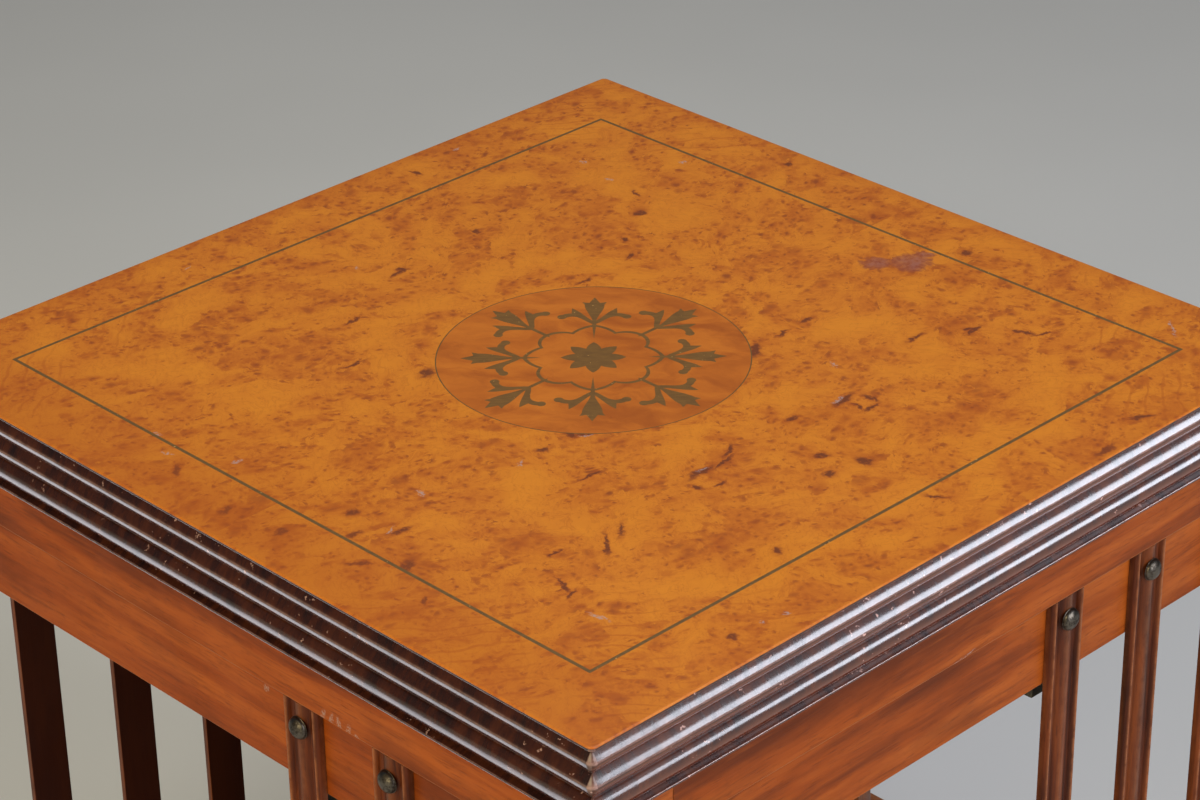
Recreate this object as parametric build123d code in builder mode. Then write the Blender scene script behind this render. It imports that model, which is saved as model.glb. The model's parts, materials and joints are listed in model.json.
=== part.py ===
from build123d import *
import os

# A revolving desktop bookcase: a square top with a reeded edge and a marquetry
# medallion, carried by reeded slats over one tier of four book bays, turning on a
# central spindle and a ball bearing above a footed base.
# Millimetres, +Z up, origin on the floor under the spindle.
# Sides run front (-Y), right (+X), back (+Y), left (-X); the four bays are a pinwheel,
# so each side is the one before it turned a quarter turn about the spindle.

# ---- Top ----
top_side = 400.0  # square top, across the noses of its reeded edge
core_thickness = 18.0
veneer_thickness = 0.8
veneer_corner_radius = 2.5

moulding_height = 33.0  # from the top surface down to the moulding's underside
moulding_depth = 16.0  # across the strip, from core board to nose
crisp_reed_count = 2  # reeds with a crisp nose, above one round reed
reed_pitch = 9.6
reed_depth = 3.1
reed_nose_drop = 3.6  # each reed's nose is this far below the groove above it
reed_crown = 0.35  # rise of the upper faces of the crisp reeds
arris_inset = 0.8  # top arris stands this far behind the noses
arris_height = 1.0
foot_face_height = 0.7  # upright edge below the lowest groove
foot_face_inset = 0.4

stringing_inset = 34.0  # outside of the square line, behind the noses
stringing_width = 1.5
stringing_x = -1.5  # the square line was laid this far off the middle
medallion_diameter = 127.0
medallion_x = -4.0  # the medallion was let in this far off the middle
medallion_y = -1.0
medallion_line_width = 0.5
inlay_clearance = 0.02

# ---- Frieze ----
band_inset = 4.0  # band stands this far behind the noses
band_height = 23.5
band_arris_chamfer = 0.6
frieze_board_height = 37.7  # below the band, where the slats are fixed
rail_inner_inset = 26.0  # inner face of the rails, behind the noses
frieze_block_width = 38.5  # seen at the left end of each side

# ---- Slats and their studs ----
slat_width = 19.0
slat_thickness = 4.0
slats_per_side = 3
first_slat_front = 60.0  # from the spindle's plane, on the front
first_slat_back = 58.0  # the same, on the back
first_slat_left_right = 40.7  # the same, on the left and right
last_slat_inset_front = 37.0  # from the corner's nose, on the front
last_slat_inset_back = 47.0  # the same, on the back
last_slat_inset_left_right = 60.3  # the same, on the left and right
slat_edge_reed = 3.3
slat_groove_width = 2.0
slat_groove_depth = 1.8
slat_side_height = 2.6
stud_diameter = 9.4
stud_dome_height = 3.2
stud_shank_diameter = 3.0
stud_shank_length = 12.0
stud_below_band = 10.4

# ---- Bays ----
opening_height = 221.8  # clear height of a book bay
bearer_thickness = 16.0
bearer_drop = 10.5  # bearers hang this far below the frieze
bearer_toe_inset = 14.0  # toes of the bearers, under the rails, behind the noses
divider_thickness = 8.0
divider_inset = 105.0  # free edges of the dividers, behind the noses
shelf_thickness = 12.0
bottom_rail_height = 38.0
bottom_band_height = 13.0

# ---- Base and feet ----
running_gap = 4.0  # between the turning rails and the base
base_inset = 28.0  # base stands this far behind the noses
base_lower_height = 12.0
base_step = 6.0  # upper member is set in this far and is this high
base_corner_radius = 8.0
base_edge_radius = 4.5
foot_height = 22.0
foot_diameter = 46.0
foot_neck_diameter = 30.0
foot_sole_diameter = 34.0
foot_collar_height = 2.5
foot_spigot_diameter = 12.0
foot_spigot_length = 12.0
foot_inset = 36.0  # foot centre from the base's edges
felt_thickness = 2.0
felt_inset = 1.5

# ---- Spindle and bearing ----
spindle_diameter = 16.0
running_clearance = 0.05  # radial, spindle in its bushes
seat_clearance = 0.03  # radial, fixed round parts in their holes
bush_outer_diameter = 24.0
bush_flange_diameter = 34.0
bush_flange_thickness = 2.0
shelf_bush_length = 22.0
head_bush_depth = 19.0
head_block_height = 30.0
spindle_top_gap = 0.4
spindle_socket_depth = 13.0
spindle_tip_radius = 2.0
flange_diameter = 56.0
flange_thickness = 4.0
pad_margin = 9.0  # pad stands this far outside the race

bearing_height = 8.0
race_thickness = 3.0
race_inner_land = 11.0  # from the ball circle in to the race's bore
race_outer_land = 15.0  # from the ball circle out to the race's edge
ball_circle_diameter = 116.0
ball_diameter = 5.0
ball_count = 12
ball_clearance = 0.3
cage_thickness = 1.2
cage_width = 14.0

screw_shank_diameter = 3.0
screw_head_diameter = 6.0
screw_head_height = 1.7
screw_length = 13.0
flange_screw_circle = 40.0
race_screw_inset = 6.0  # screw centres, in from the race's edge
screw_count = 4

# ---- Levels, from the floor up ----
base_bottom = felt_thickness + foot_height
base_top = base_bottom + base_lower_height + base_step
bottom_rail_bottom = base_top + running_gap
bottom_band_top = bottom_rail_bottom + bottom_band_height
shelf_top = bottom_rail_bottom + bottom_rail_height
shelf_bottom = shelf_top - shelf_thickness
frieze_bottom = shelf_top + opening_height
band_bottom = frieze_bottom + frieze_board_height
moulding_bottom = band_bottom + band_height
table_top = moulding_bottom + moulding_height
veneer_bottom = table_top - veneer_thickness
core_bottom = veneer_bottom - core_thickness
bearer_bottom = frieze_bottom - bearer_drop
bearing_mid = base_top + bearing_height / 2
bearing_top = base_top + bearing_height
head_block_bottom = core_bottom - head_block_height

# ---- Faces, measured outwards from the spindle ----
nose_face = top_side / 2
core_face = nose_face - moulding_depth
band_face = nose_face - band_inset
board_face = band_face - slat_thickness
rail_inner_face = nose_face - rail_inner_inset
bearer_toe_face = nose_face - bearer_toe_inset
block_inner_face = band_face - frieze_block_width
divider_reach = nose_face - divider_inset
base_side = 2 * (nose_face - base_inset)
stringing_side = 2 * (nose_face - stringing_inset)
medallion_radius = medallion_diameter / 2
race_inner_diameter = ball_circle_diameter - 2 * race_inner_land
race_outer_diameter = ball_circle_diameter + 2 * race_outer_land
race_screw_circle = race_outer_diameter - 2 * race_screw_inset
pad_side = race_outer_diameter + 2 * pad_margin

sides = ("front", "right", "back", "left")
outward = (Vector(0, -1, 0), Vector(1, 0, 0), Vector(0, 1, 0), Vector(-1, 0, 0))
along = (Vector(1, 0, 0), Vector(0, 1, 0), Vector(-1, 0, 0), Vector(0, -1, 0))
first_slat = (first_slat_front, first_slat_left_right, first_slat_back, first_slat_left_right)
last_slat_inset = (
    last_slat_inset_front,
    last_slat_inset_left_right,
    last_slat_inset_back,
    last_slat_inset_left_right,
)

pieces = []


def keep(builder, label):
    """Label a finished sub-part and queue it for export."""
    builder.part.label = label
    pieces.append(builder.part)


def spot(side, u, out, up):
    """Point u along a side, out from the spindle and up from the floor."""
    return along[side] * u + outward[side] * out + Vector(0, 0, up)


def face_plane(side, u, out, up):
    """Plane lying on a side's face: x along the side, y up, normal outwards."""
    return Plane(origin=spot(side, u, out, up), x_dir=along[side], z_dir=outward[side])


def section_plane(side, u=0):
    """Plane across a side's rails: x outwards from the spindle, y up from the floor."""
    return Plane(origin=along[side] * u, x_dir=outward[side], z_dir=-along[side])


def plan_plane(side, u, out, up):
    """Level plane: x along the side, y towards the spindle."""
    return Plane(origin=spot(side, u, out, up), x_dir=along[side], z_dir=(0, 0, 1))


def mitre_plane(side, end):
    """Plane of the mitre at one end (-1 or 1) of a side's strip, facing past the strip."""
    return Plane(origin=(0, 0, 0), z_dir=along[side] * end - outward[side])


def slat_centres(side):
    """Distances of a side's evenly spaced slats from the spindle's plane."""
    last_slat = nose_face - last_slat_inset[side]
    pitch = (last_slat - first_slat[side]) / (slats_per_side - 1)
    return [first_slat[side] + i * pitch for i in range(slats_per_side)]


def motif(u, v, turn=0):
    """Point of the medallion's ornament in shares of its radius, turned by degrees."""
    return Vector(u * medallion_radius, v * medallion_radius, 0).rotate(Axis.Z, turn)


def polar(radius, angle):
    """Point of the ornament at a share of the radius and an angle in degrees."""
    return motif(radius, 0, angle)


def lobed_ring(edge):
    """Closed line of four round and four pointed lobes, edge outside the ring's middle."""
    cusp, round_crest, shoulder, point = 0.357 + edge, 0.428 + edge, 0.411 + edge, 0.437 + edge
    for axis in (0, 90, 180, 270):
        ThreePointArc(polar(cusp, axis - 22.5), polar(round_crest, axis), polar(cusp, axis + 22.5))
        ThreePointArc(polar(cusp, axis + 22.5), polar(shoulder, axis + 35.7), polar(point, axis + 45))
        ThreePointArc(polar(point, axis + 45), polar(shoulder, axis + 54.3), polar(cusp, axis + 67.5))


# ---- Marquetry medallion ----
with BuildSketch() as rosette_outline:
    with BuildLine():
        for i in range(8):
            tip = 45 * i
            ThreePointArc(polar(0.125, tip - 22.5), polar(0.162, tip - 12.5), polar(0.207, tip))
            ThreePointArc(polar(0.207, tip), polar(0.162, tip + 12.5), polar(0.125, tip + 22.5))
    make_face()

with BuildSketch() as palmette_half:
    with BuildLine():  # half of the toothed centre leaf
        Line(motif(0.540, 0), motif(0.540, 0.014))
        Spline(motif(0.540, 0.014), motif(0.635, 0.018), motif(0.715, 0.042), motif(0.828, 0.064))
        Line(motif(0.828, 0.064), motif(0.867, 0.080))
        Line(motif(0.867, 0.080), motif(0.855, 0.035))
        Line(motif(0.855, 0.035), motif(0.936, 0))
        Line(motif(0.936, 0), motif(0.540, 0))
    make_face()
    with BuildLine():  # side sprig, forked into a tooth and a curl
        Spline(motif(0.550, 0.000), motif(0.618, 0.072), motif(0.660, 0.128), motif(0.648, 0.180))
        ThreePointArc(motif(0.648, 0.180), motif(0.640, 0.234), motif(0.687, 0.208))
        Spline(motif(0.687, 0.208), motif(0.704, 0.176), motif(0.708, 0.148))
        Line(motif(0.708, 0.148), motif(0.780, 0.146))
        Spline(motif(0.780, 0.146), motif(0.720, 0.092), motif(0.646, 0.044), motif(0.590, 0.000))
        Line(motif(0.590, 0.000), motif(0.550, 0.000))
    make_face()

with BuildSketch() as wreath_outline:
    with BuildLine():
        lobed_ring(0.0135)
    make_face()
    with BuildLine():
        lobed_ring(-0.0135)
    make_face(mode=Mode.SUBTRACT)
    for turn, shift, stem_root, spur_tip in (
        (0, 0, 0.425, 0.395),
        (45, -0.095, 0.435, 0.255),
        (90, 0, 0.425, 0.395),
        (135, -0.095, 0.435, 0.330),
        (180, 0, 0.425, 0.395),
        (225, -0.095, 0.435, 0.262),
        (270, 0, 0.425, 0.395),
        (315, -0.095, 0.435, 0.350),
    ):
        with Locations(Location(motif(shift, 0, turn), (0, 0, turn))):
            add(palmette_half.sketch)
            add(palmette_half.sketch.mirror(Plane.XZ))
        with BuildLine():  # stem, and the spur inside the ring
            Polyline(
                motif(spur_tip, 0, turn),
                motif(stem_root, -0.013, turn),
                motif(0.560 + shift, -0.013, turn),
                motif(0.560 + shift, 0.013, turn),
                motif(stem_root, 0.013, turn),
                close=True,
            )
        make_face()

medallion_plane = Plane(origin=(medallion_x, medallion_y, veneer_bottom))
with BuildPart() as medallion_rosette:
    with BuildSketch(medallion_plane):
        add(rosette_outline.sketch)
    extrude(amount=veneer_thickness)
keep(medallion_rosette, "medallion_rosette")

with BuildPart() as medallion_wreath:
    with BuildSketch(medallion_plane):
        add(wreath_outline.sketch)
    extrude(amount=veneer_thickness)
keep(medallion_wreath, "medallion_wreath")

with BuildPart() as medallion_ground:
    with BuildSketch(medallion_plane):
        Circle(medallion_radius - medallion_line_width)
        add(rosette_outline.sketch, mode=Mode.SUBTRACT)
        add(wreath_outline.sketch, mode=Mode.SUBTRACT)
    extrude(amount=veneer_thickness)
keep(medallion_ground, "medallion_ground")

# ---- Burr veneers and stringing ----
panel_side = stringing_side - 2 * stringing_width
stringing_plane = Plane(origin=(stringing_x, 0, veneer_bottom))
with BuildPart() as burr_panel:
    with BuildSketch(stringing_plane):
        Rectangle(panel_side, panel_side)
    extrude(amount=veneer_thickness)
    with BuildSketch(medallion_plane):
        Circle(medallion_radius)
    extrude(amount=veneer_thickness, mode=Mode.SUBTRACT)
keep(burr_panel, "burr_panel")

veneer_side = top_side - 2 * arris_inset
with BuildPart() as burr_border:
    with BuildSketch(Plane.XY.offset(veneer_bottom)):
        RectangleRounded(veneer_side, veneer_side, veneer_corner_radius)
    extrude(amount=veneer_thickness)
    with BuildSketch(stringing_plane):
        Rectangle(stringing_side, stringing_side)
    extrude(amount=veneer_thickness, mode=Mode.SUBTRACT)
keep(burr_border, "burr_border")

with BuildPart() as stringing:
    with BuildSketch(stringing_plane):
        Rectangle(stringing_side, stringing_side)
        Rectangle(panel_side, panel_side, mode=Mode.SUBTRACT)
    extrude(amount=veneer_thickness)
    with BuildSketch(medallion_plane):
        Circle(medallion_radius - inlay_clearance)
        Circle(medallion_radius - medallion_line_width + inlay_clearance, mode=Mode.SUBTRACT)
    extrude(amount=veneer_thickness)
keep(stringing, "stringing")

# ---- Core board and reeded edge moulding ----
with BuildPart() as top_core_board:
    with BuildSketch(Plane.XY.offset(core_bottom)):
        Rectangle(2 * core_face, 2 * core_face)
    extrude(amount=core_thickness)
keep(top_core_board, "top_core_board")

groove_face = nose_face - reed_depth
arris_face = nose_face - arris_inset
reeds_top = veneer_bottom - arris_height
reeds_bottom = reeds_top - (crisp_reed_count + 1) * reed_pitch
foot_face = nose_face - foot_face_inset
for side, name in enumerate(sides):
    with BuildPart() as top_moulding:
        with BuildSketch(section_plane(side)):
            with BuildLine():
                Polyline(
                    (groove_face, reeds_bottom),
                    (foot_face, moulding_bottom + foot_face_height),
                    (foot_face, moulding_bottom),
                    (core_face, moulding_bottom),
                    (core_face, veneer_bottom),
                    (arris_face, veneer_bottom),
                    (arris_face, reeds_top),
                    (groove_face, reeds_top),
                )
                for i in range(crisp_reed_count + 1):
                    groove = reeds_top - i * reed_pitch
                    nose = (nose_face, groove - reed_nose_drop)
                    if i < crisp_reed_count:
                        SagittaArc((groove_face, groove), nose, reed_crown)
                    else:
                        TangentArc(nose, (groove_face, groove), tangent=(0, 1))
                    TangentArc(nose, (groove_face, groove - reed_pitch), tangent=(0, -1))
            make_face()
        extrude(amount=nose_face, both=True)
        split(bisect_by=mitre_plane(side, 1), keep=Keep.BOTTOM)
        split(bisect_by=mitre_plane(side, -1), keep=Keep.BOTTOM)
    keep(top_moulding, f"top_moulding_{name}")

# ---- Frieze: each rail runs from its own corner block to the next side's ----
stud_hole_radius = stud_shank_diameter / 2 + seat_clearance
upper_stud_level = band_bottom - stud_below_band
lower_stud_level = bottom_band_top + stud_below_band
stud_hole_depth = stud_shank_length - slat_thickness + seat_clearance
for side, name in enumerate(sides):
    with BuildPart() as frieze_rail:
        with BuildSketch(section_plane(side, rail_inner_face)):
            with BuildLine():
                Polyline(
                    (rail_inner_face, frieze_bottom),
                    (board_face, frieze_bottom),
                    (board_face, band_bottom),
                    (band_face - band_arris_chamfer, band_bottom),
                    (band_face, band_bottom + band_arris_chamfer),
                    (band_face, moulding_bottom),
                    (core_face, moulding_bottom),
                    (core_face, core_bottom),
                    (rail_inner_face, core_bottom),
                    close=True,
                )
            make_face()
        extrude(amount=rail_inner_face + block_inner_face)
        for u in slat_centres(side):
            with BuildSketch(face_plane(side, u, board_face, upper_stud_level)):
                Circle(stud_hole_radius)
            extrude(amount=-stud_hole_depth, mode=Mode.SUBTRACT)
    keep(frieze_rail, f"frieze_rail_{name}")

block_members = (
    (board_face, frieze_bottom, band_bottom),
    (band_face, band_bottom, moulding_bottom),
    (core_face, moulding_bottom, core_bottom),
)
with BuildPart() as frieze_blocks:
    for side in range(4):
        for face, low, high in block_members:
            u = -(face + block_inner_face) / 2
            out = (face + rail_inner_face) / 2
            with BuildSketch(plan_plane(side, u, out, low)):
                Rectangle(face - block_inner_face, face - rail_inner_face)
            extrude(amount=high - low)
keep(frieze_blocks, "frieze_blocks")

# ---- Slats ----
slat_half = slat_width / 2
edge_reed_inner = slat_half - slat_edge_reed
centre_reed_half = edge_reed_inner - slat_groove_width
slat_groove_floor = slat_thickness - slat_groove_depth
slat_length = band_bottom - bottom_band_top
for side, name in enumerate(sides):
    for number, u in enumerate(slat_centres(side), start=1):
        slat_plane = Plane(
            origin=spot(side, u, board_face, band_bottom),
            x_dir=along[side],
            z_dir=(0, 0, -1),
        )
        with BuildPart() as slat:
            with BuildSketch(slat_plane):
                with BuildLine():
                    for end in (-1, 1):
                        ThreePointArc(
                            (end * slat_half, slat_side_height),
                            (end * (slat_half + edge_reed_inner) / 2, slat_thickness),
                            (end * edge_reed_inner, slat_groove_floor),
                        )
                        Line(
                            (end * edge_reed_inner, slat_groove_floor),
                            (end * centre_reed_half, slat_groove_floor),
                        )
                        Line((end * slat_half, slat_side_height), (end * slat_half, 0))
                    ThreePointArc(
                        (-centre_reed_half, slat_groove_floor),
                        (0, slat_thickness),
                        (centre_reed_half, slat_groove_floor),
                    )
                    Line((-slat_half, 0), (slat_half, 0))
                make_face()
            extrude(amount=slat_length)
            for level in (upper_stud_level, lower_stud_level):
                with BuildSketch(face_plane(side, u, board_face, level)):
                    Circle(stud_hole_radius)
                extrude(amount=slat_thickness, mode=Mode.SUBTRACT)
        keep(slat, f"slat_{name}_{number}")

# ---- Dome-headed studs, through the slats into the rails ----
stud_radius = stud_diameter / 2
with BuildPart() as stud:
    with BuildSketch(Plane.XZ):
        with BuildLine():
            Line((0, stud_dome_height), (0, -stud_shank_length))
            Line((0, -stud_shank_length), (stud_shank_diameter / 2, -stud_shank_length))
            Line((stud_shank_diameter / 2, -stud_shank_length), (stud_shank_diameter / 2, 0))
            Line((stud_shank_diameter / 2, 0), (stud_radius, 0))
            RadiusArc(
                (stud_radius, 0),
                (0, stud_dome_height),
                -(stud_radius**2 + stud_dome_height**2) / (2 * stud_dome_height),
            )
        make_face()
    revolve(axis=Axis.Z)

for label, level in (("upper_studs", upper_stud_level), ("lower_studs", lower_stud_level)):
    with BuildPart() as studs:
        for side in range(4):
            for u in slat_centres(side):
                with Locations(face_plane(side, u, band_face, level).location):
                    add(stud.part)
    keep(studs, label)

# ---- Bearers under the top, and the dividers that back the bays ----
bearer_members = (
    (rail_inner_face, bearer_bottom, core_bottom),
    (bearer_toe_face, bearer_bottom, frieze_bottom),
)
divider_members = ((divider_reach, shelf_top, bearer_bottom),)
for side, name in enumerate(sides):
    next_side = (side + 1) % 4
    for label, thickness, members in (
        ("bearer", bearer_thickness, bearer_members),
        ("divider", divider_thickness, divider_members),
    ):
        inner_end = -(first_slat[next_side] - thickness / 2)
        with BuildPart() as board:
            for reach, low, high in members:
                middle = (reach + inner_end) / 2
                with BuildSketch(plan_plane(side, first_slat[side], middle, low)):
                    Rectangle(thickness, reach - inner_end)
                extrude(amount=high - low)
        keep(board, f"{label}_{name}")

# ---- Bottom rails and shelf ----
for side, name in enumerate(sides):
    with BuildPart() as bottom_rail:
        with BuildSketch(section_plane(side)):
            with BuildLine():
                Polyline(
                    (rail_inner_face, bottom_rail_bottom),
                    (band_face, bottom_rail_bottom),
                    (band_face, bottom_band_top - band_arris_chamfer),
                    (band_face - band_arris_chamfer, bottom_band_top),
                    (board_face, bottom_band_top),
                    (board_face, shelf_top),
                    (rail_inner_face, shelf_top),
                    close=True,
                )
            make_face()
        extrude(amount=nose_face, both=True)
        split(bisect_by=mitre_plane(side, 1), keep=Keep.BOTTOM)
        split(bisect_by=mitre_plane(side, -1), keep=Keep.BOTTOM)
        for u in slat_centres(side):
            with BuildSketch(face_plane(side, u, board_face, lower_stud_level)):
                Circle(stud_hole_radius)
            extrude(amount=-stud_hole_depth, mode=Mode.SUBTRACT)
    keep(bottom_rail, f"bottom_rail_{name}")

bush_hole_radius = bush_outer_diameter / 2 + seat_clearance
bush_bore_radius = spindle_diameter / 2 + running_clearance
with BuildPart() as shelf_board:
    with BuildSketch(Plane.XY.offset(shelf_bottom)):
        Rectangle(2 * rail_inner_face, 2 * rail_inner_face)
        Circle(bush_hole_radius, mode=Mode.SUBTRACT)
    extrude(amount=shelf_thickness)
keep(shelf_board, "shelf_board")

screw_hole_radius = screw_shank_diameter / 2 + seat_clearance
with BuildPart() as turntable_pad:
    with BuildSketch(Plane.XY.offset(bearing_top)):
        Rectangle(pad_side, pad_side)
        Circle(bush_hole_radius, mode=Mode.SUBTRACT)
    extrude(amount=shelf_bottom - bearing_top)
    with BuildSketch(Plane.XY.offset(bearing_top)):
        with PolarLocations(race_screw_circle / 2, screw_count):
            Circle(screw_hole_radius)
    extrude(amount=screw_length - race_thickness + seat_clearance, mode=Mode.SUBTRACT)
keep(turntable_pad, "turntable_pad")

# ---- Bushes and the head block that holds the upper one ----
with BuildPart() as shelf_bush:
    with BuildSketch(Plane.XY.offset(shelf_top - shelf_bush_length)):
        Circle(bush_outer_diameter / 2)
    extrude(amount=shelf_bush_length)
    with BuildSketch(Plane.XY.offset(shelf_top)):
        Circle(bush_flange_diameter / 2)
    extrude(amount=bush_flange_thickness)
    with BuildSketch(Plane.XY.offset(shelf_top - shelf_bush_length)):
        Circle(bush_bore_radius)
    extrude(amount=shelf_bush_length + bush_flange_thickness, mode=Mode.SUBTRACT)
keep(shelf_bush, "shelf_bush")

head_bush_bottom = head_block_bottom - bush_flange_thickness
head_bush_wall = (bush_outer_diameter - spindle_diameter) / 2
head_bush_top = head_bush_bottom + head_bush_depth + head_bush_wall
with BuildPart() as head_bush:
    with BuildSketch(Plane.XY.offset(head_bush_bottom)):
        Circle(bush_flange_diameter / 2)
    extrude(amount=bush_flange_thickness)
    with BuildSketch(Plane.XY.offset(head_block_bottom)):
        Circle(bush_outer_diameter / 2)
    extrude(amount=head_bush_top - head_block_bottom)
    with BuildSketch(Plane.XY.offset(head_bush_bottom)):
        Circle(bush_bore_radius)
    extrude(amount=head_bush_depth, mode=Mode.SUBTRACT)
keep(head_bush, "head_bush")

with BuildPart() as head_block:
    with BuildSketch(Plane.XY.offset(head_block_bottom)):
        with Locations(((first_slat_front - first_slat_back) / 2, 0)):
            Rectangle(
                first_slat_front + first_slat_back - bearer_thickness,
                2 * first_slat_left_right - bearer_thickness,
            )
    extrude(amount=head_block_height)
    with BuildSketch(Plane.XY.offset(head_block_bottom)):
        Circle(bush_hole_radius)
    extrude(amount=head_bush_top - head_block_bottom, mode=Mode.SUBTRACT)
keep(head_block, "head_block")

# ---- Ball bearing between the base and the pad ----
groove_radius = ball_diameter / 2 + ball_clearance
for label, low, screw_face in (
    ("lower_race", base_top, 1),
    ("upper_race", bearing_top - race_thickness, -1),
):
    with BuildPart() as race:
        with BuildSketch(Plane.XY.offset(low)):
            Circle(race_outer_diameter / 2)
            Circle(race_inner_diameter / 2, mode=Mode.SUBTRACT)
            with PolarLocations(race_screw_circle / 2, screw_count):
                Circle(screw_hole_radius, mode=Mode.SUBTRACT)
        extrude(amount=race_thickness)
        with BuildSketch(Plane.XZ):
            with Locations((ball_circle_diameter / 2, bearing_mid)):
                Circle(groove_radius)
        revolve(axis=Axis.Z, mode=Mode.SUBTRACT)
        head_face = low + race_thickness if screw_face == 1 else low
        with BuildSketch(Plane.XY.offset(head_face)):
            with PolarLocations(race_screw_circle / 2, screw_count):
                Circle(screw_head_diameter / 2 + seat_clearance)
        extrude(amount=-screw_face * (screw_head_height + seat_clearance), mode=Mode.SUBTRACT)
    keep(race, label)

with BuildPart() as ball_cage:
    with BuildSketch(Plane.XY.offset(bearing_mid - cage_thickness / 2)):
        Circle((ball_circle_diameter + cage_width) / 2)
        Circle((ball_circle_diameter - cage_width) / 2, mode=Mode.SUBTRACT)
        with PolarLocations(ball_circle_diameter / 2, ball_count):
            Circle(groove_radius, mode=Mode.SUBTRACT)
    extrude(amount=cage_thickness)
keep(ball_cage, "ball_cage")

with BuildPart() as bearing_balls:
    with Locations((0, 0, bearing_mid)):
        with PolarLocations(ball_circle_diameter / 2, ball_count):
            Sphere(ball_diameter / 2)
keep(bearing_balls, "bearing_balls")

# ---- Screws: cheese heads let into the races and the flange ----
with BuildPart() as screw:
    with BuildSketch(Plane.XY):
        Circle(screw_head_diameter / 2)
    extrude(amount=-screw_head_height)
    with BuildSketch(Plane.XY.offset(-screw_head_height)):
        Circle(screw_shank_diameter / 2)
    extrude(amount=-(screw_length - screw_head_height))

lower_race_face = base_top + race_thickness
upper_race_face = bearing_top - race_thickness
with BuildPart() as lower_race_screws:
    with Locations((0, 0, lower_race_face)):
        with PolarLocations(race_screw_circle / 2, screw_count):
            add(screw.part)
keep(lower_race_screws, "lower_race_screws")

with BuildPart() as upper_race_screws:
    with PolarLocations(race_screw_circle / 2, screw_count):
        with Locations(Plane(origin=(0, 0, upper_race_face), z_dir=(0, 0, -1)).location):
            add(screw.part)
keep(upper_race_screws, "upper_race_screws")

flange_top = base_top + flange_thickness
with BuildPart() as flange_screws:
    with Locations((0, 0, flange_top)):
        with PolarLocations(flange_screw_circle / 2, screw_count):
            add(screw.part)
keep(flange_screws, "flange_screws")

# ---- Spindle and its flange ----
spindle_top = head_bush_bottom + head_bush_depth - spindle_top_gap
with BuildPart() as spindle:
    with BuildSketch(Plane.XY.offset(base_top - spindle_socket_depth)):
        Circle(spindle_diameter / 2)
    extrude(amount=spindle_top - base_top + spindle_socket_depth)
    chamfer(spindle.edges().group_by(Axis.Z)[-1], spindle_tip_radius)
keep(spindle, "spindle")

with BuildPart() as spindle_flange:
    with BuildSketch(Plane.XY.offset(base_top)):
        Circle(flange_diameter / 2)
        Circle(spindle_diameter / 2 + seat_clearance, mode=Mode.SUBTRACT)
        with PolarLocations(flange_screw_circle / 2, screw_count):
            Circle(screw_hole_radius, mode=Mode.SUBTRACT)
    extrude(amount=flange_thickness)
    with BuildSketch(Plane.XY.offset(flange_top)):
        with PolarLocations(flange_screw_circle / 2, screw_count):
            Circle(screw_head_diameter / 2 + seat_clearance)
    extrude(amount=-(screw_head_height + seat_clearance), mode=Mode.SUBTRACT)
keep(spindle_flange, "spindle_flange")

# ---- Base board ----
base_upper_side = base_side - 2 * base_step
foot_spacing = base_side - 2 * foot_inset
with BuildPart() as base_board:
    with BuildSketch(Plane.XY.offset(base_bottom)):
        RectangleRounded(base_side, base_side, base_corner_radius)
    extrude(amount=base_lower_height)
    with BuildSketch(Plane.XY.offset(base_bottom + base_lower_height)):
        RectangleRounded(base_upper_side, base_upper_side, base_corner_radius)
    extrude(amount=base_step)
    fillet(base_board.faces().sort_by(Axis.Z)[-1].outer_wire().edges(), base_edge_radius)
    with BuildSketch(Plane.XY.offset(base_bottom)):
        with GridLocations(foot_spacing, foot_spacing, 2, 2):
            Circle(foot_spigot_diameter / 2 + seat_clearance)
    extrude(amount=foot_spigot_length + seat_clearance, mode=Mode.SUBTRACT)
    with BuildSketch(Plane.XY.offset(base_top)):
        Circle(spindle_diameter / 2 + seat_clearance)
    extrude(amount=-spindle_socket_depth, mode=Mode.SUBTRACT)
    for circle, plate in (
        (race_screw_circle, race_thickness),
        (flange_screw_circle, flange_thickness),
    ):
        with BuildSketch(Plane.XY.offset(base_top)):
            with PolarLocations(circle / 2, screw_count):
                Circle(screw_hole_radius)
        extrude(amount=-(screw_length - plate + seat_clearance), mode=Mode.SUBTRACT)
keep(base_board, "base_board")

# ---- Turned bun feet and their felts ----
with BuildPart() as bun_foot:
    with BuildSketch(Plane.XZ):
        with BuildLine():
            Polyline(
                (foot_sole_diameter / 2, -foot_height),
                (0, -foot_height),
                (0, foot_spigot_length),
                (foot_spigot_diameter / 2, foot_spigot_length),
                (foot_spigot_diameter / 2, 0),
                (foot_neck_diameter / 2, 0),
                (foot_neck_diameter / 2, -foot_collar_height),
            )
            ThreePointArc(
                (foot_neck_diameter / 2, -foot_collar_height),
                (foot_diameter / 2, -(foot_height + foot_collar_height) / 2),
                (foot_sole_diameter / 2, -foot_height),
            )
        make_face()
    revolve(axis=Axis.Z)

with BuildPart() as feet:
    with Locations((0, 0, base_bottom)):
        with GridLocations(foot_spacing, foot_spacing, 2, 2):
            add(bun_foot.part)
keep(feet, "feet")

with BuildPart() as felt_pads:
    with BuildSketch(Plane.XY):
        with GridLocations(foot_spacing, foot_spacing, 2, 2):
            Circle(foot_sole_diameter / 2 - felt_inset)
    extrude(amount=felt_thickness)
keep(felt_pads, "felt_pads")

os.makedirs("parts", exist_ok=True)
for piece in pieces:
    export_step(piece, f"parts/{piece.label}.step")
print(len(pieces), "sub-parts written")
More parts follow.
